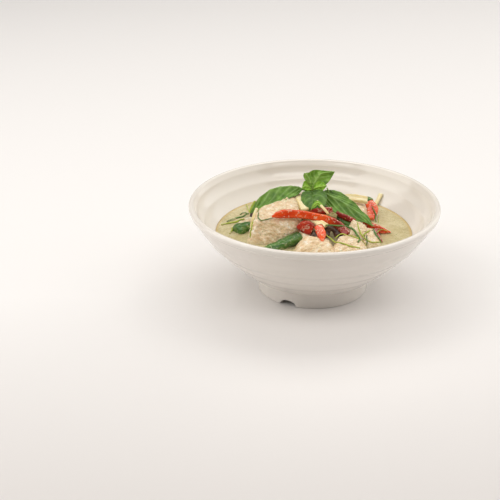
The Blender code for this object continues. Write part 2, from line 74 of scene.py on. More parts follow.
def linear(hex_colour):
    """An sRGB hex colour as linear RGBA."""
    values = [int(hex_colour[i : i + 2], 16) / 255 for i in (1, 3, 5)]
    return [v / 12.92 if v <= 0.04045 else ((v + 0.055) / 1.055) ** 2.4 for v in values] + [1.0]


def cells(size):
    """How many cells of a size in millimetres fit in a metre, as a texture's Scale counts."""
    return float(round(1000.0 / size))


def node(tree, kind, settings=None, links=None):
    """Adds a node. A setting is a property or a socket, or a ramp's stops, or a map's range."""
    made = tree.nodes.new("ShaderNode" + kind)
    for key, value in (settings or {}).items():
        if key == "stops":
            ramp = made.color_ramp
            while len(ramp.elements) < len(value):
                ramp.elements.new(0.5)
            for element, (place, colour) in zip(ramp.elements, value):
                element.position = place
                element.color = linear(colour)
        elif key == "range":
            for limit, number in zip(RANGE_LIMITS, value):
                made.inputs[limit].default_value = number
        elif isinstance(key, str) and hasattr(made, key):
            setattr(made, key, value)
        else:
            made.inputs[key].default_value = linear(value) if isinstance(value, str) else value
    for key, source in (links or {}).items():
        if isinstance(source, bpy.types.Node):
            source = next(socket for socket in source.outputs if socket.enabled)
        tree.links.new(source, made.inputs[key])
    return made


def new_material(name, **sockets):
    """A material with constants on its shader, and its node tree, shader and coordinates."""
    made = bpy.data.materials.new(name)
    made.use_nodes = True
    tree = made.node_tree
    shader = tree.nodes["Principled BSDF"]
    for key, value in sockets.items():
        socket = shader.inputs[key.replace("_", " ")]
        socket.default_value = linear(value) if isinstance(value, str) else value
    where = node(tree, "TexCoord").outputs["Object"]
    return made, tree, shader, where


print("linear mid grey", [round(v, 3) for v in linear("#808080")])

# %% [markdown]
# The serving stands on a plain pale board, matt laminate with a smooth printed face. The board's
# colour deepens a little towards the front, which stands in for the light that falls off there. The
# camera looks down at the bowl through a long lens, so the rim's ellipse is hardly distorted.

# %% Lay the board and place the camera
BOARD_CORNERS = ((-2.5, -2.0, 0), (2.5, -2.0, 0), (2.5, 4.0, 0), (-2.5, 4.0, 0))
BOARD_FADE = (-0.42, -0.02)
FOCAL_MM = 95.04
CAMERA_PLACE = (-0.046, -0.875, 0.424)
CAMERA_PITCH = math.radians(24.36)

floor_mesh = bpy.data.meshes.new("pale_board")
floor_mesh.from_pydata(BOARD_CORNERS, [], [(0, 1, 2, 3)])
floor = bpy.data.objects.new("pale_board", floor_mesh)
bpy.context.scene.collection.objects.link(floor)
board, tree, shader, where = new_material("matt_white_laminate_board", Roughness=0.5)
depth = node(tree, "SeparateXYZ", None, {"Vector": where}).outputs["Y"]
tone = node(tree, "MapRange", {"range": (*BOARD_FADE, 0.0, 1.0)}, {"Value": depth})
pale = node(tree, "ValToRGB", {"stops": ((0.0, "#c9c4c1"), (1.0, "#f1efee"))}, {"Fac": tone})
tree.links.new(pale.outputs["Color"], shader.inputs["Base Color"])
floor_mesh.materials.append(board)

camera_data = bpy.data.cameras.new("camera")
camera_data.lens = FOCAL_MM
camera_data.clip_start = 0.01
camera = bpy.data.objects.new("camera", camera_data)
camera.location = CAMERA_PLACE
camera.rotation_euler = (math.pi / 2 - CAMERA_PITCH, 0.0, 0.0)
bpy.context.scene.collection.objects.link(camera)
bpy.context.scene.camera = camera
print("camera", CAMERA_PLACE, "lens", FOCAL_MM, "mm")

# %% [markdown]
# Two tall soft boxes stand left and right, a wide one hangs behind and above, and a narrow bar
# hangs over the front edge. None stands at the front, so the glossy back wall of the bowl mirrors a
# darker gap between two bright panels. A faint even room light lifts the shadows.

# %% Hang the lights
LAMP_WHITE = "#fffcf8"
ROOM_WHITE = "#fffaf5"
ROOM_STRENGTH = 0.11
WATTS_PER_AREA = 4.0
# Each soft box: name, place and aim in metres, width and height in metres, brightness.
SOFT_BOXES = (
    ("overhead_box", (0.0, 0.6, 1.25), (0.0, 0.3, 0.0), (1.6, 0.9), 1.7),
    ("overhead_bar", (0.0, -0.72, 1.2), (0.0, 0.0, 0.0), (1.7, 0.42), 2.2),
    ("left_box", (-1.1, -0.1, 0.95), (0.0, -0.1, 0.7), (1.3, 1.7), 1.55),
    ("right_box", (1.1, 0.5, 0.95), (0.0, 0.5, 0.7), (2.5, 1.7), 1.05),
)


def soft_box(name, place, aim, size, radiance):
    """A white rectangular area light, on a scale where lit white paper is about 1."""
    data = bpy.data.lights.new(name, "AREA")
    data.shape = "RECTANGLE"
    data.size, data.size_y = size
    data.energy = WATTS_PER_AREA * radiance * size[0] * size[1]
    data.color = linear(LAMP_WHITE)[:3]
    light = bpy.data.objects.new(name, data)
    light.location = place
    light.rotation_euler = (Vector(aim) - Vector(place)).to_track_quat("-Z", "Y").to_euler()
    bpy.context.scene.collection.objects.link(light)


for box in SOFT_BOXES:
    soft_box(*box)
world = bpy.data.worlds.new("studio")
world.use_nodes = True
background = world.node_tree.nodes["Background"]
background.inputs["Color"].default_value = linear(ROOM_WHITE)
background.inputs["Strength"].default_value = ROOM_STRENGTH
bpy.context.scene.world = world
bpy.context.scene.view_settings.view_transform = "Standard"
print(len(SOFT_BOXES), "soft boxes")

# %% [markdown]
# Every piece joins the scene the same way: a mesh in metres that rides on the one rigid body, names
# the CAD solids that it stands for, and takes the finish that it is given.


# %% Placing a piece
placed = []


def place_piece(name, mesh, material, stands_for=()):
    """Links a mesh as a piece of the object, shaded smooth."""
    mesh.name = name
    mesh.materials.clear()
    mesh.materials.append(material)
    mesh.shade_smooth()
    piece = bpy.data.objects.new(name, mesh)
    bpy.context.scene.collection.objects.link(piece)
    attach(piece, "root")
    if stands_for:
        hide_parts(*stands_for)
    placed.append(piece)
    return piece


def grid_faces(rows, columns, closed=False):
    """The quads of a grid of points, row after row; closed joins last column to first."""
    faces = []
    for i in range(rows - 1):
        for j in range(columns if closed else columns - 1):
            k = (j + 1) % columns
            row, after = i * columns, (i + 1) * columns
            faces.append((row + j, row + k, after + k, after + j))
    return faces


def coordinates(mesh):
    """The mesh's points as an array of rows."""
    found = np.empty(len(mesh.vertices) * 3, np.float32)
    mesh.vertices.foreach_get("co", found)
    return found.reshape(-1, 3).astype(float)


def welded(mesh, gap=None):
    """The mesh with its faces turned outward, and with points closer than the gap joined."""
    bm = bmesh.new()
    bm.from_mesh(mesh)
    if gap is not None:
        bmesh.ops.remove_doubles(bm, verts=bm.verts, dist=gap * MM)
    bmesh.ops.recalc_face_normals(bm, faces=bm.faces)
    bm.to_mesh(mesh)
    bm.free()
    return mesh


print("CAD solids to stand in for:", len(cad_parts))

# %% [markdown]
# The bowl is compression-moulded melamine. Its sides carry soft ridges outside and shallow scallops
# inside, copied from a thrown pot, and its foot has a drain notch so that it dries in the rack. The
# sizes, in millimetres, repeat the CAD solid's. Only the ridges differ: they stand up to half a
# millimetre prouder, sit up to two millimetres higher and fade out more slowly.

# %% The bowl's sizes
RIM_RADIUS = 500 * (bowl_high.x - bowl_low.x)
RIM_HEIGHT = 1000 * bowl_high.z
SAUCE_LEVEL = 1000 * sauce_high.z
WALL = 3.8
FOOT_RADIUS = 39.7
FOOT_WALL = 4.0
FOOT_HEIGHT = 13.2
RECESS_DEPTH = 11.0
FLOOR_HEIGHT = 16.0
FLOOR_TURN = 4.5
BASE_RADIUS = 46.5
BASE_HEIGHT = 14.2
FLARE = 1.234
BEND = -0.00728
LIP_HEIGHT = 4.8
LIP_BEAD = 1.7
# Each ridge: height, how proud it stands, and how wide its step is.
RIDGES = ((21.5, 0.4, 2.6), (30.0, 0.55, 3.4), (39.0, 1.2, 5.5), (49.0, 0.45, 6.0))
RIDGE_FADE = 8.0
CRESTS = (43.0, 53.0, 61.5)
SCALLOP_DEPTH = 0.7
NOTCH_TURN = math.radians(28.9)
NOTCH_WIDTH = 12.5
NOTCH_HEIGHT = 4.0
print("rim", round(RIM_RADIUS, 1), "mm out and", round(RIM_HEIGHT, 1), "mm up")

# %% [markdown]
# A turned outline makes all of that. It is half of the bowl's section: from under the foot it
# climbs the outside over the ridges, goes over the lip and comes down inside. Formulas give the
# long walls, and smooth curves through a few points give the corners. The steps are much finer than
# the CAD solid's, so the lip and ridges catch light as smooth curves.

# %% The bowl's outline
FOOT_SAMPLES = 64
LIP_SAMPLES = 46
FLOOR_SAMPLES = 16
OUTSIDE_STEP = 0.62
INSIDE_STEP = 0.8


def smoothstep(x):
    """Eases from 0 to 1 while x goes from 0 to 1."""
    x = min(max(x, 0.0), 1.0)
    return x * x * (3.0 - 2.0 * x)


def flare_radius(z):
    """The plain outer wall, a parabola, without its ridges."""
    rise = z - BASE_HEIGHT
    return BASE_RADIUS + FLARE * rise + BEND * rise * rise


def outer_radius(z):
    """The outer wall with its ridges, each of which fades out above its step."""
    radius = flare_radius(z)
    for height, proud, width in RIDGES:
        step = smoothstep((z - height) / width + 0.5)
        radius += proud * step * math.exp(-((max(z - height, 0.0) / RIDGE_FADE) ** 2))
    return radius


def inner_radius(z):
    """The inner wall, one wall thickness in, with its scallops."""
    slope = FLARE + 2.0 * BEND * (z - BASE_HEIGHT)
    radius = flare_radius(z) - WALL * math.sqrt(1.0 + slope * slope)
    for low, high in zip(CRESTS, CRESTS[1:]):
        if low < z < high:
            radius += SCALLOP_DEPTH * math.sin(math.pi * (z - low) / (high - low))
    return radius


def smooth_path(points, samples):
    """A Catmull-Rom curve through the points, sampled at even parameters."""
    knots = [Vector(p) for p in points]
    knots = [2 * knots[0] - knots[1]] + knots + [2 * knots[-1] - knots[-2]]
    found = []
    for step in range(samples):
        place = (len(points) - 1) * step / (samples - 1)
        span = min(int(place), len(points) - 2)
        t = place - span
        a, b, c, d = knots[span : span + 4]
        bend = (2 * a - 5 * b + 4 * c - d) * t * t + (3 * b - a - 3 * c + d) * t**3
        found.append(0.5 * (2 * b + (c - a) * t + bend))
    return found


def bowl_profile():
    """Radius and height from the middle of the underside, out and over the lip, to the floor."""
    inner_foot = FOOT_RADIUS - FOOT_WALL
    points = [(r, RECESS_DEPTH) for r in np.linspace(0.0, inner_foot - 3.0, 6)]
    corner = [(inner_foot - 3.0, RECESS_DEPTH), (inner_foot - 1.0, RECESS_DEPTH - 0.5)]
    corner += [(inner_foot - 0.3, RECESS_DEPTH - 2.5), (inner_foot, 3.0), (inner_foot, 0.7)]
    corner += [(inner_foot + 0.3, 0.1), (inner_foot + 0.8, 0.0), (FOOT_RADIUS - 0.8, 0.0)]
    corner += [(FOOT_RADIUS - 0.2, 0.2), (FOOT_RADIUS, 0.8), (FOOT_RADIUS + 0.2, 6.0)]
    corner += [(FOOT_RADIUS + 0.5, FOOT_HEIGHT - 1.8), (FOOT_RADIUS + 2.0, FOOT_HEIGHT - 0.3)]
    corner += [(BASE_RADIUS - 1.2, FOOT_HEIGHT + 0.2), (BASE_RADIUS, BASE_HEIGHT)]
    foot = smooth_path([(r, z, 0) for r, z in corner], FOOT_SAMPLES)
    points += [(p.x, max(p.y, 0.0)) for p in foot[1:]]
    lip_foot = RIM_HEIGHT - LIP_HEIGHT
    groove = lip_foot - 1.6
    points += [(outer_radius(z), z) for z in np.arange(BASE_HEIGHT + 0.5, groove, OUTSIDE_STEP)]
    top = CRESTS[-1]
    lip = [(outer_radius(groove), groove), (outer_radius(lip_foot - 0.7), lip_foot - 0.7)]
    lip += [(outer_radius(lip_foot) + 0.6 * LIP_BEAD, lip_foot + 0.3)]
    lip += [(RIM_RADIUS - 0.35, lip_foot + 1.2), (RIM_RADIUS, RIM_HEIGHT - 0.4 * LIP_HEIGHT)]
    lip += [(RIM_RADIUS - 0.55, RIM_HEIGHT - 0.7), (RIM_RADIUS - 1.8, RIM_HEIGHT)]
    lip += [(RIM_RADIUS - 3.4, RIM_HEIGHT - 0.35), (inner_radius(top + 2.4) + 0.25, top + 2.6)]
    lip += [(inner_radius(top + 1.2), top + 1.2), (inner_radius(top), top)]
    points += [(p.x, p.y) for p in smooth_path([(r, z, 0) for r, z in lip], LIP_SAMPLES)]
    low = FLOOR_HEIGHT + FLOOR_TURN
    points += [(inner_radius(z), z) for z in np.arange(top - 0.4, low, -INSIDE_STEP)]
    turn_start = inner_radius(low)
    floor_turn = [(turn_start, low)]
    floor_turn += [(turn_start - 1.1 * FLOOR_TURN, FLOOR_HEIGHT + 0.3 * FLOOR_TURN)]
    floor_turn += [(turn_start - 2.6 * FLOOR_TURN, FLOOR_HEIGHT), (20.0, FLOOR_HEIGHT)]
    points += [(p.x, p.y) for p in smooth_path([(r, z, 0) for r, z in floor_turn], FLOOR_SAMPLES)]
    return points + [(0.0, FLOOR_HEIGHT)]


print("outline", len(bowl_profile()), "points")

# %% [markdown]
# The outline is turned about the upright axis into rows and columns of points. The columns crowd
# together at the drain notch, which is a low arch: points of the foot ring there are lifted, those
# at the table the most.

# %% Turn the bowl
BOWL_SEGMENTS = 320
NOTCH_COLUMNS = 40
FOOT_ROWS = 75


def notch_lift(x, z, top):
    """How far the drain notch raises a point of the foot ring."""
    reach = abs(x) / (0.5 * NOTCH_WIDTH)
    if reach >= 1.0 or z >= top:
        return 0.0
    arch = NOTCH_HEIGHT * (1.0 - reach * reach) ** 0.42
    return arch * (1.0 - z / top)


def turned_bowl():
    """The closed mesh of the bowl, in metres."""
    profile = bowl_profile()
    notch_turn = -0.5 * math.pi - NOTCH_TURN
    window = 0.5 * NOTCH_WIDTH / FOOT_RADIUS + 0.01
    turns = np.linspace(-math.pi, math.pi, BOWL_SEGMENTS, endpoint=False)
    turns = turns[np.abs(turns - notch_turn) > window]
    crowd = np.linspace(notch_turn - window, notch_turn + window, NOTCH_COLUMNS)
    turns = np.sort(np.concatenate([turns, crowd]))
    points = []
    for row, (radius, z) in enumerate(profile[1:-1]):
        in_ring = FOOT_RADIUS - 2.0 * FOOT_WALL < radius < BASE_RADIUS - 2.0
        in_ring = in_ring and z < FOOT_HEIGHT - 0.9 and row < FOOT_ROWS
        for turn in turns:
            lift = 0.0
            if in_ring:
                side = FOOT_RADIUS * (turn - notch_turn)
                lift = notch_lift(side, z, RECESS_DEPTH)
            points.append((radius * math.cos(turn), radius * math.sin(turn), z + lift))
    rows = len(profile) - 2
    columns = len(turns)
    faces = grid_faces(rows, columns, closed=True)
    points += [(0.0, 0.0, profile[0][1]), (0.0, 0.0, profile[-1][1])]
    low, high = len(points) - 2, len(points) - 1
    last = (rows - 1) * columns
    for j in range(columns):
        k = (j + 1) % columns
        faces.append((low, k, j))
        faces.append((high, last + j, last + k))
    mesh = bpy.data.meshes.new("bowl_turned")
    mesh.from_pydata([(MM * x, MM * y, MM * z) for x, y, z in points], [], faces)
    mesh.validate()
    return mesh


bowl_mesh = turned_bowl()
print("bowl mesh", len(bowl_mesh.vertices), "points")

# %% [markdown]
# Melamine is pressed as powder in a hot polished mould. It comes out off-white, hard and glassy,
# and its IOR of 1.6 is high for a plastic. The skin flows very slightly unevenly in the mould, and
# daily use leaves faint clouds of haze and a few dark pricks about a millimetre across.

# %% Mould the melamine
melamine, tree, shader, where = new_material("compression_moulded_white_melamine", IOR=1.6)
cloud = node(tree, "TexNoise", {"Scale": cells(71), "Detail": 4.0}, {"Vector": where})
white = node(tree, "ValToRGB", {"stops": ((0.35, "#e9e3da"), (0.65, "#ece6df"))}, {"Fac": cloud})
prick = node(tree, "TexVoronoi", {"Scale": cells(38.5)}, {"Vector": where})
mark = node(tree, "MapRange", {"range": (0.010, 0.016, 0.5, 0.0)}, {"Value": prick})
worn = node(tree, "Mix", {"data_type": "RGBA", "B": "#6d6258"}, {"Factor": mark, "A": white})
tree.links.new(worn.outputs["Result"], shader.inputs["Base Color"])
haze = node(tree, "TexNoise", {"Scale": cells(18.2), "Detail": 5.0}, {"Vector": where})
gloss = node(tree, "MapRange", {"range": (0.3, 0.7, 0.09, 0.15)}, {"Value": haze})
tree.links.new(gloss.outputs["Result"], shader.inputs["Roughness"])
flow = node(tree, "TexNoise", {"Scale": cells(16.7), "Detail": 2.0}, {"Vector": where})
bump = node(tree, "Bump", {"Strength": 0.08, "Distance": 0.1 * MM}, {"Height": flow})
tree.links.new(bump.outputs["Normal"], shader.inputs["Normal"])

bowl = place_piece("melamine_bowl", bowl_mesh, melamine, ["bowl"])
print("bowl", len(bowl.data.polygons), "faces")

# %% [markdown]
# The CAD solids of the food are faceted blocks with the right sizes and places. Cooked food has no
# sharp facets, so each one is melted: a voxel remesh gives it an even skin of fine points, and a
# few rounds of averaging round its edges. A push along the normals makes up what averaging takes
# away. Relief such as muscle fibres is then added to those points.


# %% Melt a CAD solid into a fine skin
def averaged(points, pairs, rounds):
    """Moves each point towards the mean of its neighbours, a number of times."""
    count = np.bincount(pairs.ravel(), minlength=len(points))[:, None]
    for _ in range(rounds):
        total = np.zeros_like(points)
        for axis in range(3):
            total[:, axis] += np.bincount(pairs[:, 0], points[pairs[:, 1], axis], len(points))
            total[:, axis] += np.bincount(pairs[:, 1], points[pairs[:, 0], axis], len(points))
        points = 0.5 * points + 0.5 * total / count
    return points


def melted(node_name, voxel, rounds, puff):
    """A fine, rounded copy of a CAD node's mesh; sizes in millimetres."""
    bm = bmesh.new()
    bm.from_mesh(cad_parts[node_name].data)
    bmesh.ops.remove_doubles(bm, verts=bm.verts, dist=1e-6)
    mesh = bpy.data.meshes.new(node_name)
    bm.to_mesh(mesh)
    bm.free()
    blank = bpy.data.objects.new(node_name + "_blank", mesh)
    bpy.context.scene.collection.objects.link(blank)
    remesh = blank.modifiers.new("skin", "REMESH")
    remesh.mode = "VOXEL"
    remesh.voxel_size = voxel * MM
    graph = bpy.context.evaluated_depsgraph_get()
    skin = bpy.data.meshes.new_from_object(blank.evaluated_get(graph), depsgraph=graph)
    bpy.data.objects.remove(blank)
    pairs = np.empty(len(skin.edges) * 2, np.int32)
    skin.edges.foreach_get("vertices", pairs)
    points = averaged(coordinates(skin), pairs.reshape(-1, 2), rounds)
    skin.vertices.foreach_set("co", points.astype(np.float32).ravel())
    skin.update()
    push_out(skin, lambda point, normal: puff)
    return skin


def push_out(mesh, depth):
    """Moves every point along its normal by depth(point, normal), in millimetres."""
    points = coordinates(mesh)
    normals = np.empty(len(points) * 3, np.float32)
    mesh.vertices.foreach_get("normal", normals)
    normals = normals.reshape(-1, 3).astype(float)
    moved = np.empty(len(points))
    for i, (p, n) in enumerate(zip(points, normals)):
        moved[i] = depth(Vector(p / MM), Vector(n))
    points += normals * (moved[:, None] * MM)
    mesh.vertices.foreach_set("co", points.astype(np.float32).ravel())
    mesh.update()


def with_grain(mesh, grain):
    """Stores where each point lies along the piece's grain and across it, for streaks."""
    along = Vector(grain).normalized()
    side = along.cross(Vector((0.13, 0.4, 0.9))).normalized()
    own_frame = np.array([along, side, along.cross(side)])
    marks = mesh.attributes.new("grain", "FLOAT_VECTOR", "POINT")
    marks.data.foreach_set("vector", (coordinates(mesh) @ own_frame.T).astype(np.float32).ravel())


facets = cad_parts["pepper_square"].data
trial = melted("pepper_square", 0.5, 5, 0.1)
print("a small strip melts from", len(facets.vertices), "points to", len(trial.vertices))
bpy.data.meshes.remove(trial)

# %% [markdown]
# Everything in a curry is wet, and the same sauce marks it all. So one recipe makes each food's
# finish. Its own colours run in streaks along its grain, and a mark stored on the mesh paints shade
# as a deeper red on a shaded end. Over them go flecks of dried cream, specks of pounded herb, and a
# film of sauce that climbs raggedly from the level line. A thin clear coat gives the wet glint. Real
# fibres and specks are mostly finer than a millimetre, and are drawn coarser than that so that they
# show.

# %% The recipe for a wet food
# Painted shade: the deep red laid on the shaded end of the long pepper strip.
PAINTED_SHADE_RED = "#8e1f10"
DRIED_CREAM = "#e6dab8"
HERB_OLIVE = "#7d8240"
SAUCE_CREAM = "#d3c8a0"
SPLASH_SIZE, SPECK_SIZE, WANDER_SIZE, BUMP_SIZE = 2.326, 2.38, 4.17, 1.053
# Below the sauce level, in mm: where the film starts and ends, and how far its edge wanders.
FILM_FROM, FILM_TO, FILM_RAGGED = 2.2, 2.0, 4.0
FILM_COVER = 0.95


def food_look(name, stops, streak_width, streak, film, cream, herbs, relief, **sockets):
    """stops: dark to light. streak_width, film, relief: mm. streak, cream, herbs: shares of 1."""
    made, tree, shader, where = new_material(name, **sockets)
    grain = node(tree, "Attribute", {"attribute_name": "grain"}).outputs["Vector"]
    drawn = node(tree, "Mapping", {"Scale": (streak, 1.0, 1.0)}, {"Vector": grain})
    streaks = {"Scale": cells(streak_width), "Detail": 7.0, "Roughness": 0.68}
    mottle = node(tree, "TexNoise", streaks, {"Vector": drawn})
    colour = node(tree, "ValToRGB", {"stops": stops}, {"Fac": mottle})

    # Painted shade: a mark stored on the mesh darkens part of a piece to a deep red.
    ripe = node(tree, "Attribute", {"attribute_name": "ripe"}).outputs["Fac"]
    splashes = {"Scale": cells(SPLASH_SIZE), "Detail": 5.0, "Distortion": 1.1}
    spill = node(tree, "TexNoise", splashes, {"Vector": where})
    spot = node(tree, "MapRange", {"range": (0.57, 0.64, 0.0, cream)}, {"Value": spill})
    grit = node(tree, "TexVoronoi", {"Scale": cells(SPECK_SIZE)}, {"Vector": where})
    speck = node(tree, "MapRange", {"range": (0.20, 0.30, herbs, 0.0)}, {"Value": grit})

    height = node(tree, "SeparateXYZ", None, {"Vector": where}).outputs["Z"]
    wander = node(tree, "TexNoise", {"Scale": cells(WANDER_SIZE), "Detail": 4.0}, {"Vector": where})
    ragging = {"operation": "MULTIPLY_ADD", 1: -FILM_RAGGED * MM}
    ragged = node(tree, "Math", ragging, {0: wander, 2: height})
    film_foot = sauce_high.z - FILM_FROM * MM
    film_head = sauce_high.z - FILM_TO * MM + film * MM
    climb = (film_foot, film_head, FILM_COVER, 0.0)
    wet = node(tree, "MapRange", {"range": climb}, {"Value": ragged})

    layers = ((ripe, PAINTED_SHADE_RED), (spot, DRIED_CREAM), (speck, HERB_OLIVE), (wet, SAUCE_CREAM))
    for share, paint in layers:
        layer = node(tree, "Mix", {"data_type": "RGBA", "B": paint}, {"Factor": share, "A": colour})
        colour = layer.outputs["Result"]
    tree.links.new(colour, shader.inputs["Base Color"])

    rough = node(tree, "TexNoise", {"Scale": cells(BUMP_SIZE), "Detail": 3.0}, {"Vector": drawn})
    bump = node(tree, "Bump", {"Strength": 0.6, "Distance": relief * MM}, {"Height": rough})
    tree.links.new(bump.outputs["Normal"], shader.inputs["Normal"])
    return made


print("sauce film reaches up from", round(1000 * sauce_high.z - FILM_FROM, 1), "mm")

# %% [markdown]
# Each piece of food then goes the same way: its solid is melted, relief is pushed into the skin,
# the direction of its grain is stored, and it takes its place. Meat is melted at a coarser step
# than thin strips. A few pieces melt more or less than the rest of their kind, because they are
# rounder or fuller in the real serving.

# %% Serve one piece
# A kind or a piece: its skin's step in mm, rounds of averaging, and puff in mm to make up for them.
MELT = {
    "chicken": (0.5, 26, 0.45),
    "chicken_left": (0.5, 60, 0.4),
    "chicken_front": (0.5, 70, 1.2),
    "chicken_right_low": (0.5, 70, 1.2),
    "chicken_nub": (0.5, 70, 1.2),
    "bean": (0.38, 14, 0.2),
    "bean_left": (0.38, 3, 0.8),
    "pepper": (0.34, 2, 0.05),
    "bamboo": (0.34, 4, 0.1),
    "bamboo_left": (0.34, 4, 0.7),
    "eggplant": (0.34, 5, 0.4),
}


def serve(name, part, grain, reliefs, look, slot):
    """Makes and places the piece of food that stands for one CAD solid."""
    skin = melted(name, *MELT.get(name, MELT[slot]))
    for relief in reliefs:
        push_out(skin, relief)
    with_grain(skin, grain)
    return place_piece(name + part, skin, look, [name])


print(len(MELT), "ways to melt")

# %% [markdown]
# The chicken is breast, sliced across and poached in the sauce. Cooked muscle is pale tan with
# white fibres along the grain, coarse and torn where the knife dragged. The fibres are relief in
# the mesh, and the material repeats them as paler streaks. Fat and water just under the skin
# scatter light, so a little subsurface softens the shadows. The largest slice is also a little
# fuller than its solid.

# %% Poach the chicken
# The way that each piece's fibres run.
CHICKEN = {
    "chicken_left": (0.9, -0.1, -0.45),
    "chicken_front": (1.0, 0.3, 0.3),
    "chicken_right_low": (1.0, -0.3, 0.3),
    "chicken_right_high": (0.6, -0.2, 1.0),
    "chicken_right_far": (0.5, -0.4, 0.9),
    "chicken_nub": (0.2, 0.1, 1.0),
    "chicken_sunk": (1.0, 0.5, 0.0),
    "chicken_centre": (1.0, 0.4, 0.3),
    "chicken_back": (0.8, 0.4, 0.3),
    "chicken_rear": (0.3, 0.9, 0.2),
}


# Reliefs of cut meat: depth in mm, and frequency per mm.
LUMP, STRAND, COARSE, FINE = (0.6, 0.16), (0.34, 0.62), (0.42, 0.6), (0.22, 1.3)
TEAR, TEAR_FROM = (0.7, 0.36), 0.2
STRETCH = 0.78
LEFT_BULGE, RIGHT_RISE = 3.4, 1.8
RISE_FROM, RISE_WITHIN = -27.0, 8.0


def fibre_relief(grain, seed):
    """Lumps, then ridges that run along the grain, then a coarse skin, then tears."""
    along = Vector(grain).normalized()
    shift = Vector((17.0 * seed, 5.0 * seed, 11.0 * seed))

    def depth(point, normal):
        flat = point - along * (STRETCH * point.dot(along))
        lump = LUMP[0] * noise.noise(point * LUMP[1] + shift)
        strand = STRAND[0] * noise.noise(flat * STRAND[1] + shift)
        coarse = COARSE[0] * noise.noise(point * COARSE[1] + shift)
        coarse += FINE[0] * noise.noise(point * FINE[1] + shift)
        tear = -TEAR[0] * max(noise.noise(flat * TEAR[1] + 2.0 * shift) - TEAR_FROM, 0.0)
        return lump + strand + coarse + tear

    return depth


def fuller_left_piece(point, normal):
    """The largest slice bulges to its left, and rises under the leaf at its right."""
    rise = RIGHT_RISE * smoothstep((point.x - RISE_FROM) / RISE_WITHIN)
    return LEFT_BULGE * max(-normal.x, 0.0) ** 2 + rise * max(normal.z, 0.0) ** 2


chicken_look = food_look(
    "poached_chicken_breast",
    ((0.28, "#c79f74"), (0.44, "#dfc298"), (0.55, "#ead5b2"), (0.68, "#fff9ec")),
    streak_width=2.94, streak=0.6, film=3.0, cream=0.45, herbs=0.15, relief=1.4,
    Roughness=0.36, IOR=1.38, Coat_Weight=0.45, Coat_Roughness=0.22,
    Subsurface_Weight=0.12, Subsurface_Radius=(0.004, 0.0022, 0.0012), Subsurface_Scale=0.5,
)
for seed, (name, grain) in enumerate(CHICKEN.items()):
    reliefs = [fuller_left_piece] if name == "chicken_left" else []
    reliefs.append(fibre_relief(grain, seed))
    meat = serve(name, "_meat", grain, reliefs, chicken_look, "chicken")
    print(name, len(meat.data.polygons), "faces")

# %% [markdown]
# Green beans are cut into lengths. The pod's skin is smooth and wet, a deep green that cooking has
# dulled, with long faint stripes and slight swellings over the seeds. The left one ends in a stub.

# %% Cook the beans
BEANS = {
    "bean_left": (1.0, 0.6, 0.1),
    "bean_front": (1.0, 0.6, 0.2),
    "bean_middle": (1.0, -0.6, -0.3),
    "bean_back": (1.0, 0.2, -0.2),
    "bean_rear": (0.7, 0.8, 0.0),
}
bean_look = food_look(
    "boiled_green_bean_skin",
    ((0.30, "#1e4210"), (0.46, "#34611d"), (0.58, "#4d7a2c"), (0.74, "#85a35a")),
    streak_width=3.33, streak=0.12, film=0.8, cream=0.3, herbs=0.1, relief=0.15,
    Roughness=0.3, IOR=1.4, Coat_Weight=0.4, Coat_Roughness=0.16,
)
# The stub of the left bean, in mm: where it starts, how long it is, and how far it swells.
STUB_FROM, STUB_LENGTH, STUB_SWELL = -46.0, 6.0, 1.3


def seed_swellings(name, grain):
    """A wave along the pod, and a stubby end for the left bean."""
    along = Vector(grain).normalized()

    def depth(point, normal):
        swell = 0.16 * math.sin(point.dot(along) * 0.85)
        if name == "bean_left":
            stub = STUB_SWELL * smoothstep((STUB_FROM - point.x) / STUB_LENGTH)
            swell += stub * (1.0 - abs(normal.dot(along)))
        return swell + 0.12 * noise.noise(point * 0.3) + 0.05 * noise.noise(point * 1.3)

    return depth


for name, grain in BEANS.items():
    serve(name, "_pod", grain, [seed_swellings(name, grain)], bean_look, "bean")
print(len(BEANS), "beans")

# %% [markdown]
# The red pepper is sliced into strips. Its skin is smooth, waxy and bright orange-red, and the
# sauce lies on it in whitish streaks. Where light passes through the flesh it looks more orange.
# Painted shade darkens the long strip's right end to a deeper red, where it turns down into shadow.

# %% Slice the red pepper
PEPPERS = {
    "pepper_long": (1.0, 0.0, -0.2),
    "pepper_square": (1.0, 0.0, 0.0),
    "pepper_wedge": (0.1, -1.0, -0.6),
    "pepper_under_leaf": (1.0, 0.0, 0.0),
    "pepper_behind_leaf": (1.0, -0.3, -0.3),
    "pepper_right": (1.0, 0.0, -0.3),
    "pepper_sliver": (0.3, -1.0, -0.3),
    "pepper_back": (0.0, 1.0, 0.4),
    "pepper_rear": (1.0, 0.6, 0.0),
}
bright_pepper = food_look(
    "orange_red_pepper_skin",
    ((0.32, "#c22c08"), (0.48, "#e24a12"), (0.60, "#ee5f1c"), (0.76, "#f4823a")),
    streak_width=5.88, streak=0.3, film=1.5, cream=0.55, herbs=0.0, relief=0.12,
    Roughness=0.24, IOR=1.4, Coat_Weight=0.55, Coat_Roughness=0.1,
    Subsurface_Weight=0.1, Subsurface_Radius=(0.004, 0.001, 0.0004), Subsurface_Scale=0.5,
)
dark_pepper = food_look(
    "deep_red_pepper_skin",
    ((0.32, "#6e1006"), (0.48, "#96200f"), (0.60, "#b8331a"), (0.76, "#cc5434")),
    streak_width=5.88, streak=0.4, film=1.5, cream=0.4, herbs=0.0, relief=0.12,
    Roughness=0.24, IOR=1.4, Coat_Weight=0.55, Coat_Roughness=0.1,
)
DEEP_RED = ("pepper_square", "pepper_under_leaf", "pepper_behind_leaf", "pepper_sliver")
# Shares of the long strip: where its painted shade starts, and within what; and how deep a red it
# gets.
SHADE_FROM, SHADE_WITHIN, SHADE_SHARE = 0.7, 0.16, 0.85


def waver(point, normal):
    """The slight unevenness of a soft cut piece."""
    return 0.2 * noise.noise(point * 0.28) + 0.1 * noise.noise(point * 0.8)


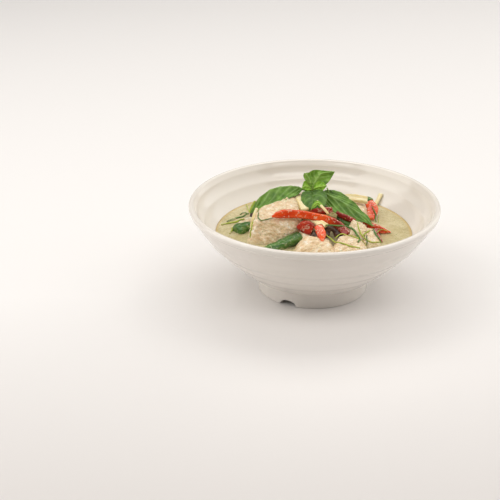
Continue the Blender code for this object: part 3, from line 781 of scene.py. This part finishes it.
def paint_shade_on_right_end(mesh):
    """Marks how much painted shade each point gets, from its place along the strip."""
    across = coordinates(mesh)[:, 0]
    end = (across - across.min()) / np.ptp(across)
    marks = mesh.attributes.new("ripe", "FLOAT", "POINT")
    ripe = np.clip((end - SHADE_FROM) / SHADE_WITHIN, 0.0, SHADE_SHARE)
    marks.data.foreach_set("value", ripe.astype(np.float32))


for name, grain in PEPPERS.items():
    look = dark_pepper if name in DEEP_RED else bright_pepper
    strip = serve(name, "_strip", grain, [waver], look, "pepper")
    if name == "pepper_long":
        paint_shade_on_right_end(strip.data)
print(len(PEPPERS), "pepper strips")

# %% [markdown]
# Bamboo shoot comes boiled, in pale strips. It is cream to straw, firm, and lined with fine fibres
# along its length, which low ridges in the mesh and a narrow streaked pattern show.

# %% Cut the bamboo shoot
BAMBOO = {
    "bamboo_left": (0.3, -1.0, -0.3),
    "bamboo_middle": (1.0, -0.9, -0.3),
    "bamboo_back": (1.0, 0.1, 0.0),
    "bamboo_wall": (0.3, 0.5, 0.6),
    "bamboo_rim": (0.2, 0.4, 1.0),
    "bamboo_strand": (0.6, -1.0, -0.4),
    "bamboo_rear": (0.3, -1.0, 0.6),
}
bamboo_look = food_look(
    "boiled_bamboo_shoot",
    ((0.30, "#d4b873"), (0.46, "#e6d398"), (0.60, "#f0e3b6"), (0.76, "#f8f1d8")),
    streak_width=2.38, streak=0.12, film=2.0, cream=0.3, herbs=0.12, relief=0.3,
    Roughness=0.38, IOR=1.4, Coat_Weight=0.2, Coat_Roughness=0.18,
    Subsurface_Weight=0.1, Subsurface_Radius=(0.003, 0.002, 0.001), Subsurface_Scale=0.5,
)


def long_fibres(grain):
    """Fine ridges that run the length of the strip."""
    along = Vector(grain).normalized()

    def depth(point, normal):
        flat = point - along * (0.85 * point.dot(along))
        return 0.16 * noise.noise(flat * 0.9) + 0.16 * noise.noise(point * 0.35)

    return depth


for name, grain in BAMBOO.items():
    serve(name, "_slice", grain, [long_fibres(grain)], bamboo_look, "bamboo")
print(len(BAMBOO), "bamboo slices")

# %% [markdown]
# Eggplant stews soft. Its flesh turns olive-brown and translucent, and its skin nearly black. One
# slice shows its flesh, and the others show skin, so there are two finishes. The skin finish is
# also kept darker to paint the shade of the gaps and hollows where those pieces sit.

# %% Stew the eggplant
EGGPLANT = {
    "eggplant_curl": (1.0, 0.0, 0.2),
    "eggplant_flesh": (1.0, -0.2, -0.2),
    "eggplant_dark": (1.0, -0.2, 0.0),
    "eggplant_sliver": (0.2, 0.5, 1.0),
}
eggplant_flesh = food_look(
    "stewed_eggplant_flesh",
    ((0.34, "#5b4526"), (0.46, "#82733a"), (0.58, "#9d9150"), (0.74, "#b8ad70")),
    streak_width=3.85, streak=0.3, film=1.5, cream=0.35, herbs=0.2, relief=0.3,
    Roughness=0.3, IOR=1.4, Coat_Weight=0.4, Coat_Roughness=0.1,
)
# Near-black skin, darkened further as painted shade for the gaps and hollows between pieces.
eggplant_skin_and_shade = food_look(
    "stewed_eggplant_skin_and_painted_shade",
    ((0.34, "#22100b"), (0.48, "#42261a"), (0.60, "#6a4c33"), (0.78, "#8c7450")),
    streak_width=3.85, streak=0.3, film=0.2, cream=0.1, herbs=0.0, relief=0.3,
    Roughness=0.32, IOR=1.4, Coat_Weight=0.2, Coat_Roughness=0.12,
)
for name, grain in EGGPLANT.items():
    look = eggplant_flesh if name == "eggplant_flesh" else eggplant_skin_and_shade
    serve(name, "_piece", grain, [waver], look, "eggplant")
print(len(EGGPLANT), "eggplant pieces")

# %% [markdown]
# Green curry sauce is coconut milk with pounded green chillies and herbs. It is opaque and pale,
# with fine olive flecks through it and a thin tan rim of oil where it meets the wall. Its surface
# is a fine sheet of points that climbs a little wherever it wets the wall or a piece of food,
# because a level cut would look like plastic. The sheet is closed below by the bowl's inside.

# %% Pour the sauce
SAUCE_GRID = 250
WALL_OVERLAP = 0.05
# Slow and quick ripples: height in mm, a slice of the noise, and its frequency per mm.
RIPPLES = ((0.14, 3.0, 0.1), (0.07, 9.0, 0.45), (0.05, 5.0, 1.1))
# How high the sauce climbs the wall and the food, and how far out it starts, in mm.
WALL_CLING = (0.6, 1.7)
FOOD_CLING = (0.55, 0.9)
FOOD_REACH = 6.0
WALL_ROWS = (38.0, 32.0, 26.0, 21.5)
FLOOR_ROWS = ((inner_radius(WALL_ROWS[-1]) - 6.0, 17.6), (20.0, 16.4))


def joined_tree(pieces):
    """One search tree over the surfaces of several pieces."""
    points, faces = [], []
    for piece in pieces:
        start = len(points)
        points.extend(vertex.co.copy() for vertex in piece.data.vertices)
        faces.extend([start + v for v in face.vertices] for face in piece.data.polygons)
    return BVHTree.FromPolygons(points, faces)


def disc_point(u, v):
    """A square's point (-1 to 1) moved onto the unit disc, keeping areas even."""
    if u == 0.0 and v == 0.0:
        return 0.0, 0.0
    if abs(u) > abs(v):
        radius, turn = u, 0.25 * math.pi * v / u
    else:
        radius, turn = v, 0.5 * math.pi - 0.25 * math.pi * u / v
    return radius * math.cos(turn), radius * math.sin(turn)


def sauce_mesh(food):
    """The sauce's rippled top sheet, closed below by rows down the bowl's inside."""
    rim = inner_radius(SAUCE_LEVEL) + WALL_OVERLAP
    points = []
    for i in range(SAUCE_GRID):
        for j in range(SAUCE_GRID):
            x, y = disc_point(2 * i / (SAUCE_GRID - 1) - 1, 2 * j / (SAUCE_GRID - 1) - 1)
            x, y = x * rim, y * rim
            z = SAUCE_LEVEL
            for height, cut, frequency in RIPPLES:
                z += height * noise.noise(Vector((x, y, cut)) * frequency)
            z += WALL_CLING[0] * math.exp(-(rim - math.hypot(x, y)) / WALL_CLING[1])
            near = food.find_nearest(Vector((x, y, SAUCE_LEVEL)) * MM, FOOD_REACH * MM)
            if near[0] is not None:
                z += FOOD_CLING[0] * math.exp(-near[3] / MM / FOOD_CLING[1])
            points.append((x, y, z))
    faces = grid_faces(SAUCE_GRID, SAUCE_GRID)
    last = SAUCE_GRID - 1
    loop = [i * SAUCE_GRID for i in range(last)]
    loop += [last * SAUCE_GRID + j for j in range(last)]
    loop += [(last - i) * SAUCE_GRID + last for i in range(last)]
    loop += [last - j for j in range(last)]
    edge = loop
    for radius, z in [(inner_radius(z) + WALL_OVERLAP, z) for z in WALL_ROWS] + list(FLOOR_ROWS):
        ring = []
        for index in loop:
            x, y, _ = points[index]
            far = math.hypot(x, y)
            ring.append(len(points))
            points.append((x / far * radius, y / far * radius, z))
        for a in range(len(loop)):
            b = (a + 1) % len(loop)
            faces.append((edge[a], edge[b], ring[b], ring[a]))
        edge = ring
    faces.append(tuple(edge))
    mesh = bpy.data.meshes.new("sauce")
    mesh.from_pydata([(MM * x, MM * y, MM * z) for x, y, z in points], [], faces)
    return welded(mesh)


solids = [piece for piece in placed if piece is not bowl]
sauce_shape = sauce_mesh(joined_tree(solids))
print("sauce mesh", len(sauce_shape.polygons), "faces")

# %% [markdown]
# The sauce is an emulsion of coconut fat in water, so light goes a little way in and comes back
# milky, which a touch of subsurface gives. Its cream is cloudy, with herb grit and fat dots, each a
# share of a millimetre across, and an oily tan band next to the wall.

# %% Colour the sauce
HERB_GRIT = "#7f7d45"
FAT_DOT = "#eae2c6"
OILY_TAN = "#cbae72"
OILY_BAND = (2.2, 0.6)

sauce_look, tree, shader, where = new_material(
    "coconut_green_curry", Roughness=0.32, IOR=1.36, Coat_Weight=0.15, Coat_Roughness=0.12,
    Subsurface_Weight=0.12, Subsurface_Radius=(0.004, 0.0035, 0.002), Subsurface_Scale=0.6,
)
clouds = {"Scale": cells(9.1), "Detail": 9.0, "Roughness": 0.86}
cloud = node(tree, "TexNoise", clouds, {"Vector": where})
creams = ((0.34, "#b2a273"), (0.5, "#cabd90"), (0.66, "#dfd5b2"))
colour = node(tree, "ValToRGB", {"stops": creams}, {"Fac": cloud})

grit = node(tree, "TexVoronoi", {"Scale": cells(1.316)}, {"Vector": where})
grit_size = node(tree, "SeparateColor", None, {"Color": grit.outputs["Color"]})
grit_reach = node(tree, "Math", {"operation": "MULTIPLY", 1: 0.36}, {0: grit_size.outputs["Red"]})
is_grit = node(tree, "Math", {"operation": "LESS_THAN"}, {0: grit, 1: grit_reach})
grit_share = node(tree, "Math", {"operation": "MULTIPLY", 1: 0.42}, {0: is_grit})

fat = node(tree, "TexVoronoi", {"Scale": cells(2.44)}, {"Vector": where})
fat_share = node(tree, "MapRange", {"range": (0.12, 0.2, 0.35, 0.0)}, {"Value": fat})

level = node(tree, "VectorMath", {"operation": "MULTIPLY", 1: (1.0, 1.0, 0.0)}, {0: where})
radius = node(tree, "VectorMath", {"operation": "LENGTH"}, {0: level}).outputs["Value"]
wall = MM * inner_radius(SAUCE_LEVEL)
band = (wall - OILY_BAND[0] * MM, wall - OILY_BAND[1] * MM, 0.0, 0.75)
oil_share = node(tree, "MapRange", {"range": band}, {"Value": radius})

for share, paint in ((grit_share, HERB_GRIT), (fat_share, FAT_DOT), (oil_share, OILY_TAN)):
    layer = node(tree, "Mix", {"data_type": "RGBA", "B": paint}, {"Factor": share, "A": colour})
    colour = layer.outputs["Result"]
tree.links.new(colour, shader.inputs["Base Color"])
beads = node(tree, "TexVoronoi", {"feature": "SMOOTH_F1", "Scale": cells(1.613)}, {"Vector": where})
dimples = {"Strength": 0.5, "Distance": 0.35 * MM, "invert": True}
bump = node(tree, "Bump", dimples, {"Height": beads})
tree.links.new(bump.outputs["Normal"], shader.inputs["Normal"])

sauce = place_piece("green_curry_sauce", sauce_shape, sauce_look, ["curry_sauce"])
print("oily band", round(OILY_BAND[0] - OILY_BAND[1], 1), "mm wide")

# %% [markdown]
# Basil leaves are thin, soft and quilted: the tissue puffs up between side veins that sweep from
# the midrib towards the margin. Each leaf is a surface drawn between three curves, its left edge,
# its midrib and its right edge, with the veins pressed in, and a second skin a third of a
# millimetre below closes it. The veins are also stored on the mesh, so that the material can pale
# them.

# %% The shape of a leaf
LEAF_STATIONS = 120
LEAF_ACROSS = 52
LEAF_THICKNESS = 0.35
VEIN_SHARPNESS = 7.0
RIB_WIDTH = 0.5
RIB_DEPTH = 0.3
WAVES_ALONG = 2.7
CREASE_HEIGHT = 0.1


def leaf_mesh(base, tip, left, middle, right, bulge, veins, slant, quilt, ripple, seed):
    """A closed leaf between three rails in millimetres, which meet at its base and tip."""
    rails = [smooth_path((base, *rail, tip), LEAF_STATIONS) for rail in (left, middle, right)]
    centre, vein_marks = [], []
    for i in range(LEAF_STATIONS):
        s = i / (LEAF_STATIONS - 1)
        edge_left, mid, edge_right = (rail[i] for rail in rails)
        behind = rails[1][max(i - 1, 0)]
        ahead = (rails[1][min(i + 1, LEAF_STATIONS - 1)] - behind).normalized()
        for j in range(LEAF_ACROSS + 1):
            t = 2.0 * j / LEAF_ACROSS - 1.0
            out = (edge_left if t < 0 else edge_right) - mid
            width = out.length
            face = out.cross(ahead) if t < 0 else ahead.cross(out)
            face = face.normalized() if face.length > 1e-9 else Vector((0, 0, 1))
            far = abs(t)
            lateral = s * veins - slant * far**1.3 - (0.5 if t > 0 else 0.0)
            off = abs(lateral - round(lateral))
            vein = math.exp(-((off * VEIN_SHARPNESS) ** 2)) * (1.0 - 0.6 * far)
            rib = math.exp(-((far * max(width, 1.0) / RIB_WIDTH) ** 2))
            fade = min(1.0, width / 3.0) * math.sin(math.pi * min(0.04 + far, 1.0)) ** 0.5
            pillow = quilt * fade * abs(math.sin(math.pi * lateral)) ** 0.7
            beat = 2 * math.pi * (WAVES_ALONG * s + 0.37 * seed + 0.2 * t)
            wave = ripple * far**2.5 * math.sin(beat)
            wave += ripple * far**2 * noise.noise(Vector((9.0 * s, 2.0 * t, seed)))
            crease = CREASE_HEIGHT * noise.noise(Vector((38.0 * s, 7.0 * t, seed)))
            rise = bulge * width * math.sin(math.pi * far * 0.9) + pillow + crease
            rise += wave * min(1.0, width / 4.0) - RIB_DEPTH * rib
            centre.append(mid + out * far + face * rise)
            vein_marks.append(max(vein, rib))
    columns = LEAF_ACROSS + 1
    grid = np.array([list(p) for p in centre]).reshape(LEAF_STATIONS, columns, 3)
    face = np.cross(np.gradient(grid, axis=1), np.gradient(grid, axis=0))
    face /= np.maximum(np.linalg.norm(face, axis=2, keepdims=True), 1e-9)
    face[0], face[-1] = face[1], face[-2]
    top = (grid + 0.5 * LEAF_THICKNESS * face).reshape(-1, 3)
    bottom = (grid - 0.5 * LEAF_THICKNESS * face).reshape(-1, 3)
    upper = grid_faces(LEAF_STATIONS, columns)
    count = len(top)
    faces = upper + [tuple(count + v for v in reversed(quad)) for quad in upper]
    last = LEAF_STATIONS - 1
    loop = [i * columns for i in range(last)] + [last * columns + j for j in range(columns - 1)]
    loop += [(last - i) * columns + columns - 1 for i in range(last)]
    loop += [columns - 1 - j for j in range(columns - 1)]
    faces += [(a, count + a, count + b, b) for a, b in zip(loop, loop[1:] + loop[:1])]
    mesh = bpy.data.meshes.new("leaf")
    mesh.from_pydata(np.concatenate([top, bottom]) * MM, [], faces)
    marks = mesh.attributes.new("vein", "FLOAT", "POINT")
    marks.data.foreach_set("value", np.array(vein_marks + vein_marks, np.float32))
    return welded(mesh, 0.002)


print("a leaf has", LEAF_STATIONS * (LEAF_ACROSS + 1), "points a side")

# %% [markdown]
# A living leaf has a thin wax skin, so it is satin and not glossy. Light that passes through it
# comes out yellow-green. Older leaves are darker, and young ones are brighter and shinier. Tissue
# cells are too fine to see, so a bump of one-millimetre cells is drawn instead. A darker copy of the
# finish paints shade onto the front leaf.

# %% The finishes of basil
def basil_look(name, stops, vein_colour, vein_share, **sockets):
    """A leaf's finish: its greens from dark to light, and how much its veins are paled."""
    made, tree, shader, where = new_material(name, **sockets)
    mottle = node(tree, "TexNoise", {"Scale": cells(5.26), "Detail": 4.0}, {"Vector": where})
    blade = node(tree, "ValToRGB", {"stops": stops}, {"Fac": mottle})
    vein = node(tree, "Attribute", {"attribute_name": "vein"}).outputs["Fac"]
    share = node(tree, "Math", {"operation": "MULTIPLY", 1: vein_share}, {0: vein})
    paled = {"data_type": "RGBA", "B": vein_colour}
    veined = node(tree, "Mix", paled, {"Factor": share, "A": blade})
    tree.links.new(veined.outputs["Result"], shader.inputs["Base Color"])
    tissue = node(tree, "TexVoronoi", {"Scale": cells(1.111)}, {"Vector": where})
    bump = node(tree, "Bump", {"Strength": 0.3, "Distance": 0.12 * MM}, {"Height": tissue})
    tree.links.new(bump.outputs["Normal"], shader.inputs["Normal"])
    return made


WAXY = {
    "Roughness": 0.42, "IOR": 1.38, "Coat_Weight": 0.12, "Coat_Roughness": 0.3,
    "Subsurface_Radius": (0.001, 0.002, 0.0004),
}
SHINY = {**WAXY, "Roughness": 0.4, "IOR": 1.45, "Coat_Weight": 0.2}
mature = basil_look(
    "fresh_basil_leaf", ((0.3, "#426a17"), (0.5, "#5d8727"), (0.72, "#7ca443")), "#a8c47c", 0.34,
    **WAXY, Subsurface_Weight=0.06,
)
upper = basil_look(
    "tender_basil_leaf", ((0.3, "#5b8722"), (0.5, "#77a434"), (0.72, "#97be55")), "#b8d284", 0.32,
    **WAXY, Subsurface_Weight=0.08,
)
# A darker copy of the leaf finish, which paints shade onto the front leaf.
shaded = basil_look(
    "basil_leaf_painted_shade", ((0.3, "#375a16"), (0.5, "#4c7420"), (0.72, "#678e38")), "#94ae6c", 0.34,
    **WAXY, Subsurface_Weight=0.06,
)
young = basil_look(
    "young_basil_leaf", ((0.3, "#649a14"), (0.5, "#82b822"), (0.72, "#a2d040")), "#c2de76", 0.35,
    **SHINY, Subsurface_Weight=0.1,
)
print("basil finishes", mature.name, upper.name, shaded.name, young.name)

# %% [markdown]
# Large leaves lie to the left, right and front, one stands on top, and small young ones curl round
# the tip of the stem. Each is written as its base and tip, the points between them along its left
# edge, midrib and right edge, and then how it is shaped, in millimetres.

# %% Grow the leaves
# Each leaf: base, tip, left edge, midrib, right edge, then its bulge, number of veins, their slant,
# quilting, ripple, and finish.
LEAVES = {
    "basil_leaf_left": (
        (-7.7, 12.5, 70.2), (-46.1, 13, 51.2),
        ((-11.4, 8.2, 68.5), (-18, 3.4, 66.9), (-24.5, -0.3, 64.8), (-31.6, 1, 61.3),
         (-40.9, 7, 55.6)),
        ((-12, 14, 71.9), (-21, 14.4, 71.9), (-30.8, 14, 69.6), (-40.2, 13, 62.2)),
        ((-12, 17, 70.4), (-21, 21, 67.5), (-31.5, 22, 63), (-40, 19, 57)),
        0.1, 6.5, 2.6, 0.9, 0.6, mature,
    ),
    "basil_leaf_right": (
        (6, 11, 68.8), (41.9, -9, 50.5),
        ((9.1, 15, 68.8), (15.7, 15, 67.6), (22.8, 12, 65.3), (28.4, 8, 62.7), (34, 4, 58.5),
         (38.7, -2, 55.5)),
        ((9.6, 10, 67.7), (20.7, 4, 63.7), (30.5, -1, 58.4), (37.5, -5, 55)),
        ((9.2, 3, 62), (15.5, -4, 58.7), (25.9, -8, 54.7), (35.3, -9, 53.6)),
        0.12, 5.5, 3.0, 0.75, 0.5, mature,
    ),
    "basil_leaf_front": (
        (-0.9, 11, 69.6), (-1.1, -6, 62.6),
        ((-7, 11, 68.8), (-9.3, 6, 66.2), (-8, 0, 63.2), (-4.6, -5, 61.4)),
        ((-1, 8, 67.7), (-1.1, 3, 65.9), (-1.3, -2, 64)),
        ((6, 11, 70), (9.1, 7, 68.1), (8.4, 0, 64), (4.7, -5, 61.8)),
        0.16, 5.0, 1.3, 0.6, 0.6, shaded,
    ),
    "basil_leaf_top": (
        (-0.7, 12, 71.2), (15.1, 17, 82.2),
        ((-4.1, 13, 74.3), (-4.9, 15, 79.7), (-1.2, 17, 83.1), (5.3, 18, 83.1)),
        ((0.9, 13.5, 74.8), (3.3, 15, 78.5), (6.3, 16, 81.2)),
        ((4.6, 12, 71.5), (8.9, 12.5, 74.1), (11.8, 14, 77), (14, 16, 80)),
        0.12, 5.0, 1.5, 0.4, 0.4, upper,
    ),
    "basil_leaf_behind": (
        (12, 14, 69.2), (26.2, 17, 61.7),
        ((14.9, 14, 66.1), (19.4, 15, 63.3)),
        ((15.8, 16, 66.6), (20.3, 17, 64.1)),
        ((16.2, 18, 67.1), (21.1, 19, 64.7)),
        0.1, 5.0, 1.0, 0.2, 0.3, mature,
    ),
    "basil_bud_leaf_upper": (
        (-2, 13, 74.3), (-6.8, 15.5, 81.6),
        ((-5.9, 13.5, 76.8), (-7.5, 15, 79.7)),
        ((-3.4, 14, 77.7), (-5.6, 15, 80.8)),
        ((-0.9, 14.5, 77.5), (-3, 16, 81.6)),
        0.14, 4.0, 0.9, 0.2, 0.3, upper,
    ),
    "basil_bud_leaf_left": (
        (-0.8, 12, 70.8), (-8.6, 11, 71.9),
        ((-3, 11, 70.2), (-6, 10.5, 70.6)),
        ((-3.4, 12.5, 72.1), (-6.3, 12, 72.9)),
        ((-3, 14, 75.4), (-6.6, 14, 76.2)),
        0.14, 4.0, 0.9, 0.25, 0.4, young,
    ),
    "basil_bud_leaf_right": (
        (-0.5, 11.6, 70.9), (9.3, 10, 73.9),
        ((1.6, 13, 75.4), (5.9, 13, 76.2)),
        ((2.3, 11, 72.5), (5.9, 10.6, 73.3)),
        ((2.7, 10, 70), (6.3, 9.5, 70.6)),
        0.14, 4.0, 0.9, 0.25, 0.4, young,
    ),
    "basil_bent_leaf": (
        (-2.6, -7, 62.4), (6.5, -7, 63.2),
        ((-1.2, -4.6, 65.7), (2, -3, 67.8), (5.2, -4.6, 66.2)),
        ((-0.7, -5, 64.8), (2, -4, 66.6), (4.4, -5, 65.3)),
        ((0, -6, 63.7), (2.1, -5, 65.3), (3.6, -6, 64)),
        0.1, 4.0, 0.6, 0.1, 0.2, young,
    ),
}
for seed, (name, shape) in enumerate(LEAVES.items()):
    stands_for = ["basil_sprig"] if seed == 0 else []
    *measures, look = shape
    place_piece(name, leaf_mesh(*measures, seed), look, stands_for)
print(len(LEAVES), "basil leaves")

# %% [markdown]
# Stalks, petioles and the fine shreds of lime leaf are all thin strings, so one tool draws them: a
# closed tube, flat or round, along a smooth line.

# %% Draw the stalks
STRING_SIDES = 8
STALK_RINGS = 24
STALK_FLATNESS = 0.9


def string_mesh(points, widths, flatness):
    """A closed tube along points in millimetres; widths are interpolated along it."""
    sides = STRING_SIDES
    rings = len(points)
    verts = []
    up = Vector((0.1, -0.3, 1.0))
    for i, point in enumerate(points):
        ahead = (points[min(i + 1, rings - 1)] - points[max(i - 1, 0)]).normalized()
        side = ahead.cross(up).normalized()
        rise = side.cross(ahead)
        wide = 0.5 * float(np.interp(i / (rings - 1), np.linspace(0, 1, len(widths)), widths))
        for j in range(sides):
            turn = 2 * math.pi * j / sides
            out = side * (wide * math.cos(turn))
            verts.append(point + out + rise * (wide * flatness * math.sin(turn)))
    faces = grid_faces(rings, sides, closed=True)
    faces += [tuple(reversed(range(sides))), tuple(range((rings - 1) * sides, rings * sides))]
    mesh = bpy.data.meshes.new("string")
    mesh.from_pydata([v * MM for v in verts], [], faces)
    return mesh


stalk_look = food_look(
    "basil_stalk_skin", ((0.3, "#5c7d2a"), (0.5, "#7b9a3e"), (0.7, "#9cb660"), (0.8, "#a8bf70")),
    streak_width=5.0, streak=0.2, film=0.0, cream=0.0, herbs=0.0, relief=0.1,
    Roughness=0.4, IOR=1.42, Coat_Weight=0.2,
)
# Each stalk: the points that it runs through, and its widths from end to end.
STALKS = {
    "basil_stem": (
        ((0.4, 13.4, 60.6), (0.2, 12.6, 66), (-0.4, 12.2, 70.8), (-0.8, 12.2, 73.5)),
        (2.6, 2.4, 1.8),
    ),
    "basil_petiole_left": (
        ((-8.6, 12.9, 70.4), (-5.1, 12.2, 69.5), (-0.8, 12, 70.2)),
        (1.1, 1.3, 1.4),
    ),
    "basil_petiole_right": (
        ((-0.4, 12, 70), (3.4, 11.6, 69.4), (7.4, 10.8, 68.5)),
        (1.4, 1.2, 1.1),
    ),
    "basil_stalk_back": (
        ((11, 13, 67), (10.5, 14, 69.2), (9.6, 14.5, 70.9)),
        (0.9, 1, 0.8),
    ),
}
for name, (path, widths) in STALKS.items():
    mesh = string_mesh(smooth_path(path, STALK_RINGS), widths, STALK_FLATNESS)
    with_grain(mesh, (0.0, 0.0, 1.0))
    place_piece(name, mesh, stalk_look)
print(len(STALKS), "stalks")

# %% [markdown]
# Kaffir lime leaf is tough, so it is cut into shreds one or two millimetres wide, some dark like
# the face of the leaf and some pale like its back. A shred lies on the food: its line is first
# pulled onto the nearest surface, and then eased so that it bridges small gaps as a stiff shred
# does.

# %% Scatter the shreds
SHRED_RINGS = 36
SHRED_FLATNESS = 0.6
SHRED_LIFT = 0.5
SHRED_REACH = 1.6
EASINGS = 3
TAPER = (0.6, 1.0, 1.0, 0.7)
surface_tree = joined_tree(solids + [sauce])


def laid(points):
    """A smooth line pulled onto the food below it."""
    line = smooth_path(points, SHRED_RINGS)
    for i, point in enumerate(line):
        near, normal, _, gap = surface_tree.find_nearest(point * MM)
        buried = (point * MM - near).dot(normal) < 0.0
        if buried or gap < SHRED_REACH * MM:
            line[i] = near / MM + normal * SHRED_LIFT
    for _ in range(EASINGS):
        eased = [(a + 2 * b + c) / 4 for a, b, c in zip(line, line[1:], line[2:])]
        line = [line[0]] + eased + [line[-1]]
    return line


LEATHERY = {"Roughness": 0.35, "IOR": 1.42, "Coat_Weight": 0.3, "Coat_Roughness": 0.15}
dark_shred = food_look(
    "dark_lime_leaf_shred",
    ((0.3, "#2f5412"), (0.5, "#466f1c"), (0.7, "#64892c"), (0.8, "#739638")),
    streak_width=3.33, streak=0.15, film=0.6, cream=0.1, herbs=0.0, relief=0.1,
    **LEATHERY,
)
light_shred = food_look(
    "light_lime_leaf_shred",
    ((0.3, "#7f901a"), (0.5, "#a0ae2c"), (0.7, "#bcc94e"), (0.8, "#c9d466")),
    streak_width=3.33, streak=0.15, film=0.6, cream=0.1, herbs=0.0, relief=0.1,
    **LEATHERY,
)
# Each shred: the points that it runs through, its width, and its finish.
SHREDS = (
    (((7, -23, 57.2), (15.5, -18.9, 55.3), (24.5, -18.1, 53.6), (29.4, -23.5, 51),
      (30.2, -31, 49.4), (29.3, -35.5, 48.6)), 1.8, dark_shred),
    (((7.2, -29.6, 53), (10.6, -31.5, 50.8), (14.6, -35, 48.8), (22.7, -39.1, 48.2),
      (30.3, -40.9, 47.2)), 1.2, light_shred),
    (((13.5, -30, 50.4), (18.9, -22.6, 50.6), (27.7, -31.3, 50.6), (35.4, -30.3, 44.4)),
     1.1, light_shred),
    (((30, -13.3, 55.3), (31, -18.9, 52.9), (33, -23.2, 49.6), (38.3, -27.6, 46.6),
      (45.7, -24.4, 44.4)), 1.1, light_shred),
    (((41.1, -15, 51), (43.5, -20.1, 48.2), (46.6, -22.6, 43.4)), 1.5, dark_shred),
    (((33.7, -23, 49.4), (36, -19.7, 50.2), (39, -17.6, 50.9)), 1.2, light_shred),
    (((36.2, -22, 49.2), (36.3, -26.4, 47.8), (35.7, -29.9, 44.9)), 0.9, dark_shred),
    (((44.3, 28, 50.6), (45.5, 24, 48.7), (46.6, 21, 46.4), (46.5, 16, 43)), 1, dark_shred),
    (((50.3, 31, 43), (49.1, 24.8, 43), (48.2, 15, 43)), 0.8, light_shred),
    (((42.5, -19.1, 49.2), (48.1, -7.4, 47.2), (52.8, -8, 46.2)), 0.8, light_shred),
    (((-40.3, -10, 63.2), (-40.1, -16.8, 59.7), (-36.8, -17.9, 59), (-29.8, -16.8, 60.6)),
     0.9, dark_shred),
    (((-42, -12, 57.4), (-42.9, -18, 51.5), (-45.1, -21.6, 43)), 1, light_shred),
    (((-42.4, 17, 59.4), (-44.5, 15, 55.5), (-46.4, 13, 51.8)), 2.2, light_shred),
    (((-67, 10.9, 43), (-59.2, 15.5, 43), (-50.4, 16.6, 45.6)), 1.7, light_shred),
    (((-62.9, 17.4, 43), (-55.6, 24, 43.1), (-47, 27.7, 45)), 1.6, dark_shred),
    (((-48.8, 50.3, 43.1), (-47.9, 44.1, 43), (-46.7, 36.2, 43)), 0.9, light_shred),
    (((-53.4, 30.3, 43), (-50.5, 34.2, 43.2), (-47, 31.3, 43.6)), 1.1, dark_shred),
    (((-60.6, -4.6, 43.2), (-59.4, -1, 44), (-58.2, 2.6, 44.6)), 1.3, light_shred),
)
for number, (path, width, look) in enumerate(SHREDS):
    mesh = string_mesh(laid(path), [share * width for share in TAPER], SHRED_FLATNESS)
    with_grain(mesh, Vector(path[-1]) - Vector(path[0]))
    place_piece("lime_leaf_shred_%02d" % number, mesh, look)
print(len(SHREDS), "shreds of lime leaf")

# %% [markdown]
# Chopping leaves crumbs. Flecks of herb up to a millimetre long float on the sauce and stick to the
# food. Each is a thin six-sided chip, closed, turned at random from a fixed seed, and lying on the
# surface under it.

# %% Scatter the herb flecks
FLECK_REACH = 66.0
FLECK_DROP = 100.0
FLECK_HALF_LENGTH = (0.15, 0.45)
FLECK_NARROWNESS = (0.35, 0.7)
FLECK_LEVELS = (-0.08, 0.14)
FLECK_SIDES = 6
DARK_FLECKS = 60
PALE_FLECKS = 160
picker = random.Random(7)


def fleck_mesh(count):
    """Thin chips dropped onto the first surface below random places in the bowl."""
    verts, faces = [], []
    n = FLECK_SIDES
    while len(faces) < (n + 2) * count:
        far = FLECK_REACH * math.sqrt(picker.random())
        turn = picker.uniform(0.0, 2.0 * math.pi)
        start = Vector((far * math.cos(turn), far * math.sin(turn), FLECK_DROP)) * MM
        spot, normal, _, _ = surface_tree.ray_cast(start, Vector((0, 0, -1)))
        if spot is None:
            continue
        length = picker.uniform(*FLECK_HALF_LENGTH)
        wide = length * picker.uniform(*FLECK_NARROWNESS)
        spin = picker.uniform(0.0, 2.0 * math.pi)
        side = normal.cross(Vector((math.cos(spin), math.sin(spin), 0.3))).normalized()
        other = normal.cross(side)
        base = len(verts)
        for lift in FLECK_LEVELS:
            for k in range(n):
                angle = 2.0 * math.pi * k / n
                off = side * (length * math.cos(angle)) + other * (wide * math.sin(angle))
                verts.append(spot + (off + normal * lift) * MM)
        faces.append(tuple(base + k for k in reversed(range(n))))
        faces.append(tuple(base + n + k for k in range(n)))
        for k in range(n):
            after = (k + 1) % n
            faces.append((base + k, base + after, base + n + after, base + n + k))
    mesh = bpy.data.meshes.new("flecks")
    mesh.from_pydata(verts, [], faces)
    with_grain(mesh, (1.0, 0.0, 0.0))
    return mesh


place_piece("herb_flecks", fleck_mesh(DARK_FLECKS), dark_shred)
place_piece("pale_herb_flecks", fleck_mesh(PALE_FLECKS), light_shred)
print(DARK_FLECKS + PALE_FLECKS, "flecks")
